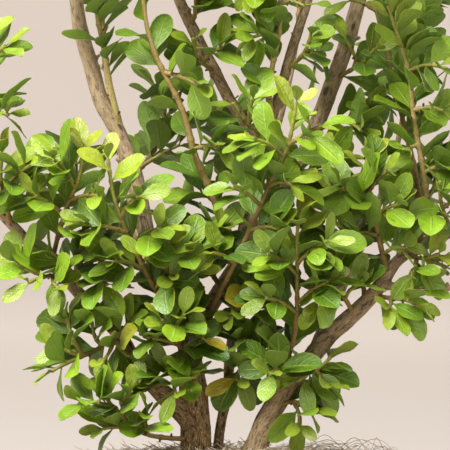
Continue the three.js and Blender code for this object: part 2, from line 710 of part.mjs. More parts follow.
/** A closed surface that grows: a stem is a square tube, and leaves and spurs grow out of its faces. */
class Growth {
  corners = [];
  triangles = [];

  add(points) {
    const first = this.corners.length;
    this.corners.push(...points);
    return points.map((_, index) => first + index);
  }

  quad(a, b, c, d) {
    this.triangles.push(a, b, c, a, c, d);
  }

  /** The middle of a face. */
  centre(face) {
    return face.reduce((sum, index) => sum.add(this.corners[index]), new THREE.Vector3()).divideScalar(4);
  }

  /** A leaf from the four corners of a face. */
  leaf(face, leaf) {
    const middle = this.centre(face);
    const offsets = [[1, 0.6], [-1, 0.6], [-1, -0.6], [1, -0.6]].map(([v, w]) =>
      leaf.across.clone().multiplyScalar(v).addScaledVector(leaf.face, w),
    );
    const fit = (turn) =>
      offsets.reduce(
        (sum, offset, side) => sum + offset.dot(this.corners[face[(side + turn) % 4]].clone().sub(middle)),
        0,
      );
    const turn = [0, 1, 2, 3].reduce((best, next) => (fit(next) > fit(best) ? next : best));
    const [q0, q1, q2, q3] = [0, 1, 2, 3].map((side) => face[(side + turn) % 4]);
    const [r0, rm, r1, r2, rb, r3] = this.add(bladeCorners(leaf, 0.46, 0.48 * leaf.width));
    const [f0, , f1, f2, , f3] = bladeCorners(leaf, 0.82, 0.38 * leaf.width);
    const [g0, g1, g2, g3] = this.add([f0, f1, f2, f3]);
    const [tip] = this.add([leafPoint(leaf, 1, 0).addScaledVector(leaf.face, -LEAF_THICKNESS / 2)]);
    this.triangles.push(rm, r0, q0, rm, q0, q1, rm, q1, r1, rb, r2, q2, rb, q2, q3, rb, q3, r3);
    this.quad(q1, q2, r2, r1);
    this.quad(q3, q0, r0, r3);
    this.triangles.push(rm, r1, g1, rm, g1, g0, rm, g0, r0, rb, r3, g3, rb, g3, g2, rb, g2, r2);
    this.quad(r1, r2, g2, g1);
    this.quad(r3, r0, g0, g3);
    this.triangles.push(g0, g1, tip, g1, g2, tip, g2, g3, tip, g3, g0, tip);
  }

  /** A stem with its side growths and its end leaf. It grows out of a face, or from its own closed end. */
  stem(face, stem, growths, endLeaf, startAt) {
    const bands = groupBands(stem, growths, startAt);
    const cornerAt = (share, normal, side) => {
      const along = stem.curve.getTangentAt(share);
      const radius = SQUARE * mix(stem.radii[0], stem.radii[1], share);
      const way = normal.clone().applyAxisAngle(along, (side * Math.PI) / 2);
      return stem.curve.getPointAt(share).addScaledVector(way, radius);
    };
    let normal = squareTo(stem.curve.getTangentAt(startAt), UP, Math.PI / 4);
    if (face) normal = this.corners[face[0]].clone().sub(this.centre(face));
    const carry = (share) => {
      normal = squareTo(stem.curve.getTangentAt(share), normal, 0);
      return normal;
    };
    let last = face;
    if (!face) {
      const first = carry(startAt);
      const clear = [0, 1, 2, 3].map((side) => stem.clearShare(first, side, cornerAt));
      last = this.add(clear.map((share, side) => cornerAt(share, first, side)));
      this.quad(last[3], last[2], last[1], last[0]);
    }
    for (const { share, held } of bands) {
      const here = carry(share);
      const ring = this.add([0, 1, 2, 3].map((side) => cornerAt(share, here, side)));
      const used = new Set();
      for (const growth of held) {
        const outward = (side) => {
          const sideFace = [last[side], last[(side + 1) % 4], ring[(side + 1) % 4], ring[side]];
          return this.centre(sideFace).sub(growth.base).dot(growth.way);
        };
        const free = [0, 1, 2, 3].filter((side) => !used.has(side));
        const side = free.reduce((best, next) => (outward(next) > outward(best) ? next : best));
        used.add(side);
        growth.grow(this, [last[side], last[(side + 1) % 4], ring[(side + 1) % 4], ring[side]]);
      }
      for (let side = 0; side < 4; side++) {
        if (used.has(side)) continue;
        this.quad(last[side], last[(side + 1) % 4], ring[(side + 1) % 4], ring[side]);
      }
      last = ring;
    }
    if (endLeaf) this.leaf(last, endLeaf);
    else this.quad(...last);
  }
}

/** The rings of a stem after its first, each with the growths that stand on the stretch before it. */
function groupBands(stem, growths, startAt) {
  const half = BAND / 2 / stem.length;
  const groups = [];
  for (const growth of [...growths].sort((a, b) => a.share - b.share)) {
    const share = Math.min(Math.max(growth.share, startAt + 2.5 * half), 1 - 2.5 * half);
    const open = groups.at(-1);
    const near = Math.max(3 * half, 4 / stem.length);
    if (open && share - open.share < near && open.held.length < 3) {
      open.held.push(growth);
    } else {
      groups.push({ share: open ? Math.max(share, open.share + 2.6 * half) : share, held: [growth] });
    }
  }
  const bands = [];
  let reached = startAt;
  const longest = 24 / stem.length;
  const fill = (share) => {
    const steps = Math.ceil((share - reached) / longest);
    for (let step = 1; step <= steps; step++) {
      bands.push({ share: mix(reached, share, step / steps), held: [] });
    }
    reached = share;
  };
  for (const { share, held } of groups) {
    fill(share - half);
    bands.push({ share: share + half, held });
    reached = share + half;
  }
  fill(1);
  return bands;
}

/** True where two solids share space. */
function meet(first, second) {
  const a = first.box;
  const b = second.box;
  for (let axis = 0; axis < 3; axis++) {
    if (a.min[axis] > b.max[axis] || b.min[axis] > a.max[axis]) return false;
  }
  return !first.solid.intersect(second.solid).isEmpty();
}

/** A solid with its box. */
function pieceOf(solid) {
  return { solid, box: solid.boundingBox() };
}

/** How far a point is outside the nearest limb. */
function roomAt(point, limbMarks) {
  return Math.min(...limbMarks.map(([mark, radius]) => mark.distanceTo(point) - radius));
}

/** One solid for each spray. What would cross a neighbour is left out. */
function buildSprays(limbs) {
  const names = Object.keys(SPRAYS);
  const stems = names.map((name, number) => stemsOf(SPRAYS[name], number));
  const leaves = placeLeaves(stems.flat(), woodMarksOf(limbs, stems.flat()));
  const limbMarks = woodMarksOf(limbs, [], 1);
  const wood = pieceOf(buildWood(limbs, 0.15, LIMB_SIDES));
  const around = limbs.map((limb) => {
    const wider = (share) => limb.radiusAt(share) + GAP;
    return pieceOf(solidOf(stemGeometry(limb.curve, wider, limb.rings, LIMB_SIDES)));
  });
  const solidStem = (stem) => {
    const wider = (share) => SQUARE * mix(stem.radii[0], stem.radii[1], share) + 0.2;
    return { stem, ...pieceOf(solidOf(stemGeometry(stem.curve, wider, 6, 4))) };
  };
  const sprays = stems.map((own) => ({ stems: own, pieces: [solidStem(own[0])], kept: [] }));
  const crosses = (piece, isJoined) =>
    around.some((limb) => meet(piece, limb)) ||
    sprays.some((spray) => spray.pieces.some((other) => !isJoined(other) && meet(piece, other)));
  for (const spray of sprays) {
    const [main, ...spurs] = spray.stems;
    for (const spur of spurs) {
      const piece = solidStem(spur);
      if (crosses(piece, (other) => other.stem === main || spurs.includes(other.stem))) continue;
      spray.pieces.push(piece);
    }
  }
  for (const leaf of leaves) {
    const spray = sprays[leaf.stem.key >> 5];
    if (!spray.pieces.some((piece) => piece.stem === leaf.stem)) continue;
    const [foot, blade] = leafPieces(leaf);
    if (crosses(foot, (other) => other.stem === leaf.stem) || crosses(blade, () => false)) continue;
    spray.pieces.push(foot, blade);
    spray.kept.push(leaf);
  }
  return sprays.map((spray, number) => {
    let room = GAP;
    let grown = growSpray(spray, limbMarks, room);
    while (meet(pieceOf(grown), wood) && room < 3) {
      room += 0.2;
      grown = growSpray(spray, limbMarks, room);
    }
    return [names[number], grown];
  });
}

/** The closed surface of one spray: its main stem, and on it the spurs and leaves that found room. */
function growSpray(spray, limbMarks, room) {
  const [main, ...spurs] = spray.stems;
  const there = (stem) => spray.pieces.some((piece) => piece.stem === stem);
  const sideLeaves = (stem) =>
    spray.kept
      .filter((leaf) => leaf.stem === stem && leaf.number !== 1)
      .map((leaf) => ({ ...leaf, grow: (growth, face) => growth.leaf(face, leaf) }));
  const endLeaf = (stem) => spray.kept.find((leaf) => leaf.stem === stem && leaf.number === 1);
  const sideSpurs = spurs.filter(there).map((spur) => ({
    share: spur.share,
    base: spur.curve.getPointAt(0),
    way: spur.curve.getTangentAt(0.4),
    grow: (growth, face) => growth.stem(face, spur, sideLeaves(spur), endLeaf(spur), 0),
  }));
  const step = 0.2 / main.length;
  main.clearShare = (normal, side, cornerAt) => {
    let share = 0;
    while (share < 0.6 && roomAt(cornerAt(share, normal, side), limbMarks) < room) share += step;
    return share;
  };
  const growth = new Growth();
  let startAt = 0;
  while (startAt < 0.6 && roomAt(main.curve.getPointAt(startAt), limbMarks) < room) startAt += step;
  growth.stem(null, main, [...sideLeaves(main), ...sideSpurs], endLeaf(main), startAt);
  return solidOf(surface(growth.corners, growth.triangles));
}

/** The trunks and limbs, joined under the ground by the root crown. wider is added to every radius. */
function buildWood(limbs, wider, sides) {
  const crown = new THREE.SphereGeometry(1, 10, 6);
  crown.rotateX(Math.PI / 2).scale(19 + wider, 11 + wider, 9 + wider).translate(-5, 2, -23);
  return limbs.reduce((joined, limb) => {
    const radiusAt = (share) => limb.radiusAt(share) + wider;
    return joined.add(solidOf(stemGeometry(limb.curve, radiusAt, limb.rings, sides)));
  }, solidOf(crown));
}

/** An oval turned form: the profile runs from the axis at the bottom, out and up, and back to the axis. */
function ovalSolid(profile, segments) {
  const points = profile.map(([radius, height]) => new THREE.Vector2(radius, height));
  const turned = new THREE.LatheGeometry(points, segments).rotateX(Math.PI / 2).scale(1, POT_SHARE, 1);
  return solidOf(turned);
}

/** A plain round plate or plug. */
function diskSolid(radius, bottom, top, segments) {
  const disk = new THREE.CylinderGeometry(radius, radius, top - bottom, segments);
  return solidOf(disk.rotateX(Math.PI / 2).translate(0, 0, (bottom + top) / 2));
}

/** One foot of the pot, a rounded block under the oval's shoulder. */
function footSolid(xSide, ySide) {
  const long = FOOT_LENGTH / 2 - FOOT_ROUND;
  const wide = FOOT_WIDTH / 2 - FOOT_ROUND;
  const outline = new THREE.Shape();
  outline.absarc(long, wide, FOOT_ROUND, 0, Math.PI / 2);
  outline.absarc(-long, wide, FOOT_ROUND, Math.PI / 2, Math.PI);
  outline.absarc(-long, -wide, FOOT_ROUND, Math.PI, 1.5 * Math.PI);
  outline.absarc(long, -wide, FOOT_ROUND, 1.5 * Math.PI, 2 * Math.PI);
  const block = new THREE.ExtrudeGeometry(outline, {
    depth: FOOT_HEIGHT + FOOT_SINK,
    bevelEnabled: false,
    curveSegments: 3,
  });
  return solidOf(block.rotateZ(-xSide * ySide * FOOT_TURN).translate(xSide * FOOT_X, ySide * FOOT_Y, 0));
}

/** The pot: an oval bowl with an overhanging rim, four feet and a drain hole. */
function buildPot() {
  const body = POT_RADIUS - RIM_OVERHANG;
  const inside = body - WALL;
  let pot = ovalSolid(
    [
      [0, FOOT_HEIGHT], [body - 19, FOOT_HEIGHT], [body - 12, FOOT_HEIGHT + 3], [body - 4, 30],
      [body, POT_HEIGHT - RIM_DROP - 2], [POT_RADIUS - 1, POT_HEIGHT - RIM_DROP],
      [POT_RADIUS, POT_HEIGHT - 4], [POT_RADIUS - 2, POT_HEIGHT],
      [inside + 2, POT_HEIGHT], [inside, POT_HEIGHT - 3], [inside - 4, 32],
      [inside - 12, FLOOR_TOP + 2], [inside - 16, FLOOR_TOP], [0, FLOOR_TOP],
    ],
    POT_SEGMENTS,
  );
  for (const xSide of [-1, 1]) {
    for (const ySide of [-1, 1]) pot = pot.add(footSolid(xSide, ySide));
  }
  return pot.subtract(diskSolid(DRAIN_RADIUS, 0, FLOOR_TOP + 5, 20));
}

/** The height of the ground's top, without its small bumps, at a share of the way out to the pot's wall. */
function moundAt(share) {
  return GROUND - 11 * share * share;
}

/** The soil: it fills the pot, rises in a low mound to the trunks, and has plain holes for them. */
function buildSoil(hole) {
  const inside = POT_RADIUS - RIM_OVERHANG - WALL - GAP;
  const top = (share) => [(inside - 0.8) * share, moundAt(share) - MOSS_DEPTH - GAP];
  const soil = ovalSolid(
    [
      [0, FLOOR_TOP + GAP], [inside - 16.5, FLOOR_TOP + GAP], [inside - 12.5, FLOOR_TOP + 2.5],
      [inside - 4.3, 32], top(1), top(0.75), top(0.5), top(0.25), [0, top(0)[1]],
    ],
    POT_SEGMENTS,
  );
  const pocket = diskSolid(MESH_RADIUS + GAP, FLOOR_TOP, FLOOR_TOP + MESH_DEPTH + 2 * GAP, 20);
  return mainBody(soil.subtract(pocket).subtract(hole));
}

/** The dry moss over the soil: a thin uneven mat with holes for the trunks. */
function buildMoss(hole) {
  const radii = [0.27, 0.54, 0.79, 1];
  const inside = POT_RADIUS - RIM_OVERHANG - WALL - GAP;
  const corners = [new THREE.Vector3(0, 0, GROUND), new THREE.Vector3(0, 0, GROUND - MOSS_DEPTH)];
  radii.forEach((reach, ring) => {
    for (let step = 0; step < MOSS_SEGMENTS; step++) {
      const angle = (2 * Math.PI * step) / MOSS_SEGMENTS;
      const radius = MOSS_RADIUS * reach * (ring === radii.length - 1 ? mix(0.93, 1, draw(71, step)) : 1);
      const bump = mix(-0.5, 1.6, draw(72, ring, step));
      const x = radius * Math.cos(angle);
      const y = radius * Math.sin(angle) * POT_SHARE;
      const level = moundAt(radius / inside);
      corners.push(new THREE.Vector3(x, y, level + bump));
      corners.push(new THREE.Vector3(x, y, level - MOSS_DEPTH + 0.25));
    }
  });
  const at = (ring, step, side) => 2 + (ring * MOSS_SEGMENTS + (step % MOSS_SEGMENTS)) * 2 + side;
  const triangles = [];
  for (let step = 0; step < MOSS_SEGMENTS; step++) {
    triangles.push(0, at(0, step, 0), at(0, step + 1, 0), 1, at(0, step + 1, 1), at(0, step, 1));
    for (let ring = 0; ring < radii.length - 1; ring++) {
      const round = [[ring, step], [ring + 1, step], [ring + 1, step + 1], [ring, step + 1]];
      const upper = round.map(([out, turn]) => at(out, turn, 0));
      const lower = round.map(([out, turn]) => at(out, turn, 1)).reverse();
      for (const [first, second, third, fourth] of [upper, lower]) {
        triangles.push(first, second, third, first, third, fourth);
      }
    }
    const rim = radii.length - 1;
    triangles.push(at(rim, step, 0), at(rim, step, 1), at(rim, step + 1, 1));
    triangles.push(at(rim, step, 0), at(rim, step + 1, 1), at(rim, step + 1, 0));
  }
  return mainBody(solidOf(surface(corners, triangles)).subtract(hole));
}

const FINISHES = {
  stoneware: { color: 0x6b4a38, roughness: 0.78, metalness: 0 },
  mesh: { color: 0x23262a, roughness: 0.6, metalness: 0 },
  soil: { color: 0x3b2a1e, roughness: 0.95, metalness: 0 },
  moss: { color: 0x8f8264, roughness: 0.97, metalness: 0 },
  bark: { color: 0x64502f, roughness: 0.85, metalness: 0 },
  leaf: { color: 0x618a22, roughness: 0.42, metalness: 0 },
};

function addMesh(group, name, solid, finish) {
  const mesh = new THREE.Mesh(geometryOf(solid), new THREE.MeshStandardMaterial(FINISHES[finish]));
  mesh.name = name;
  group.add(mesh);
}

/** The whole plant in its pot. */
function buildBonsai() {
  const group = new THREE.Group();
  const limbs = Object.values(LIMBS).map(limbForm);
  const rooted = limbs.filter((limb) => limb.curve.points[0].z < 0);
  const hole = buildWood(rooted, 1.1 * GAP, LIMB_SIDES).translate(0, 0, GROUND);
  addMesh(group, "pot", buildPot(), "stoneware");
  const floor = FLOOR_TOP + GAP;
  addMesh(group, "drain_mesh", diskSolid(MESH_RADIUS, floor, floor + MESH_DEPTH, 20), "mesh");
  addMesh(group, "soil", buildSoil(hole), "soil");
  addMesh(group, "moss_mat", buildMoss(hole), "moss");
  addMesh(group, "wood", mainBody(buildWood(limbs, 0, LIMB_SIDES)).translate(0, 0, GROUND), "bark");
  for (const [name, solid] of buildSprays(limbs)) {
    addMesh(group, name, solid.translate(0, 0, GROUND), "leaf");
  }
  return group;
}

export default buildBonsai();
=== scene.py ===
import math
from contextlib import contextmanager

import bmesh
import bpy
import numpy as np
from mathutils import Matrix, Vector, noise
from mathutils.kdtree import KDTree


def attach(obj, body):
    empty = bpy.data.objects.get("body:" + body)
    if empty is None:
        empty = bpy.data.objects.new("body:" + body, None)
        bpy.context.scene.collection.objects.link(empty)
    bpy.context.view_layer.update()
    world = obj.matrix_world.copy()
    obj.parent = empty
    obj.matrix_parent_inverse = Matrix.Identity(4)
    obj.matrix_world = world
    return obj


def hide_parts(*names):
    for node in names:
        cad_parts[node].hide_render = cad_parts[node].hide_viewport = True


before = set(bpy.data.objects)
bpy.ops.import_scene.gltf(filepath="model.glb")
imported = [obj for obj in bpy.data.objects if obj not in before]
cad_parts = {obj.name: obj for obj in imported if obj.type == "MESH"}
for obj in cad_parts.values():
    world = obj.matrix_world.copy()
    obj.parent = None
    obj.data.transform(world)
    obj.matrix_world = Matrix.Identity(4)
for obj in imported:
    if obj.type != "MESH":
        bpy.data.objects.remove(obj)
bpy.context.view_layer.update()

bl_info = {
    "name": "Upright holly bonsai",
    "version": (1, 0, 0),
    "blender": (4, 5, 0),
    "location": "3D View > Sidebar > Holly",
    "description": "Dresses an upright holly bonsai and its oval pot over their packed solids",
    "category": "Object",
}

# The plant's own frame: metres, front of the tree towards -Y, heights counted from the ground line.
GROUND = 0.066
GAP = 0.00035
POT_RADIUS = 0.118
POT_SHARE = 0.77
POT_HEIGHT = 0.06
RIM_DROP = 0.008
RIM_OVERHANG = 0.006
WALL = 0.007
BODY_RADIUS = POT_RADIUS - RIM_OVERHANG
INSIDE_RADIUS = BODY_RADIUS - WALL
GROUND_RADIUS = INSIDE_RADIUS - GAP
GROUND_FALL = 0.011
FLOOR_TOP = 0.0135
FOOT_HEIGHT = 0.007
FOOT_LENGTH = 0.032
FOOT_WIDTH = 0.015
FOOT_ROUND = 0.005
FOOT_PLACE = (0.064, 0.046)
FOOT_TURN = 0.42
DRAIN_RADIUS = 0.009
MOSS_DEPTH = 0.0026
MOSS_RADIUS = 0.101
MOSS_REACH = 0.97
MESH_RADIUS = 0.015
MESH_DEPTH = 0.0012
MESH_RIM = 0.001
STRAND_SHARE = 0.32
ROOT_CROWN = (-0.005, 0.002, -0.023)
ROOT_CROWN_SIZE = (0.019, 0.011, 0.009)

# Leaf growth, as in the solids. Numbers such as 91 or 701 in a draw only tell its kind from the others.
YOUNG_LEAF = 0.009
GROWN_LEAF = 0.0215
LEAF_WIDTH = 0.55
SPUR_GAP = 0.0031
SPUR_LEAFY = 0.8
SPUR_RADII = (0.001, 0.00075)
SPUR_BEND = 0.0015
MAIN_TIP_RADIUS = 0.0008
FIRST_LEAF = 0.0006
FULL_TURN = 6.2832
TURN = 2.3998
SOLID_CLEARANCE = 0.0023
WOOD_CLEARANCE = 0.0009
TRIES = 4
SEED = 20573
SPRAY_KEYS = 32

# How far from a solid's nearest corner a spur's tip and a leaf's tip may be, and still be taken as in it
SPUR_FOUND = 0.0011
LEAF_FOUND = 0.0002
LEAF_DEPTH = 0.00035

# How near to a shown stem or limb a leaf in front of it may come, and how far behind it is still in front
SHOWN_CLEARANCE = 0.0036
SHOWN_DEPTH = 0.001

# Swellings and nubs at the places of leaves, and dead twigs: lengths and radii
MOST_LEAVES = 60
SWELL_LENGTH = 0.0011
SWELL = 0.42
NUB_RADII = [0.0006, 0.0006, 0.00045]
STUB_SPACING = 0.03
STUB_RADII = [0.0013, 0.0011, 0.0009]

# Woody limbs in millimetres: x, y, height above the ground line and radius of each point
LIMBS = {
    "main": [
        (-14.5, 0, -22, 8.8), (-14.5, 0, 0, 8), (-15.5, 0, 25, 7.3), (-17, 0, 42, 6.2), (-20, 2, 62, 5.3),
        (-30, 4, 83, 4.8), (-38.5, 6, 106, 4.4), (-46, 8, 140, 4.2), (-54, 9, 160, 4.1),
        (-62.5, 10, 176, 4.1), (-67, 10, 192, 4), (-72.5, 10, 211, 3.8), (-75, 9, 228, 3.4),
        (-78, 6, 258, 2.4), (-77, 3, 284, 1.5)],
    "left": [
        (-15, 0, 13, 6), (-26, -1, 24, 5.2), (-36.5, -2, 34, 4.5), (-46, -3, 46, 4), (-52, -4, 57, 3.6),
        (-60, -5, 66, 3.3), (-69.5, -5, 75, 3.1), (-78, -4, 85, 3), (-92.5, -2, 99, 2.9),
        (-105.5, 0, 112, 2.8), (-119, 3, 127, 2.5), (-136, 6, 150, 2.1), (-150, 6, 176, 1.6)],
    "grey": [
        (-17, 1, 44, 4.6), (-12.5, 7, 63.5, 4.4), (-1.5, 13, 81, 4.3), (10, 18, 98.5, 4.2),
        (18.5, 20, 111, 4.1), (27, 21, 122, 4), (34.5, 21, 138, 3.9), (43, 21, 155, 3.8),
        (51.5, 21, 177, 4.2), (61, 20, 203, 4.1), (67.5, 18, 226, 3.8), (76, 15, 256, 2.7),
        (80, 11, 280, 1.6)],
    "slim": [
        (-3, 6, -22, 3), (-3.5, 6, 0, 2.6), (-1.5, 6, 16.5, 2.6), (1.5, 6, 28, 2.6), (2, 7, 42, 2.6),
        (4, 8, 60, 2.5), (5.5, 8, 81, 2.6), (7, 8, 98, 2.6), (10, 8, 117, 2.6), (14, 8, 137, 2.7),
        (21, 7, 158, 2.7), (27, 6, 178, 2.7), (34, 6, 202, 2.6), (42, 6, 227, 2.3), (49, 4, 254, 1.8),
        (52, 2, 276, 1.3)],
    "cross": [
        (19, 7, 149, 2.4), (15, 9, 156, 2.6), (8.5, 10, 166, 2.8), (1, 11, 178, 3), (-5, 11, 190, 3),
        (-13, 11, 205, 3), (-23, 10, 226, 2.8), (-31, 7, 250, 2), (-35, 4, 272, 1.2)],
    "right": [
        (2, 2, -22, 6.4), (8, 1, -9, 6.1), (15, 0, 1, 5.8), (21, -1, 16, 5.4), (31, -3, 32, 4.9),
        (40, -4, 43, 4.6), (51.5, -6, 57.5, 4.4), (61, -7, 66, 4.3), (70.5, -7, 75, 4), (78, -7, 84, 3.5),
        (87, -4, 96, 2.9), (102, -1, 104, 2.5), (114, 2, 110, 2.2), (132, 6, 126, 1.9), (148, 8, 150, 1.4)],
    "side": [
        (76, -7, 82, 2.2), (88, -9, 83, 1.8), (101, -9, 82.5, 1.6), (114, -8, 82, 1.4), (132, -6, 90, 1.2)],
    "backLeft": [
        (-17, 3, 46, 3.6), (-26, 20, 66, 3.3), (-38, 40, 92, 3), (-48, 56, 124, 2.6), (-56, 69, 160, 2.2),
        (-62, 77, 196, 1.7), (-64, 79, 226, 1.2)],
    "backMiddle": [
        (10, 18, 99, 2.8), (13, 34, 116, 2.7), (20, 52, 142, 2.4), (30, 67, 174, 2), (37, 76, 208, 1.6),
        (40, 79, 238, 1.1)],
    "backRight": [
        (42, -4, 46, 2.8), (50, 14, 62, 2.6), (62, 34, 86, 2.4), (76, 52, 116, 2.1), (88, 64, 150, 1.6),
        (94, 70, 180, 1.1)],
}

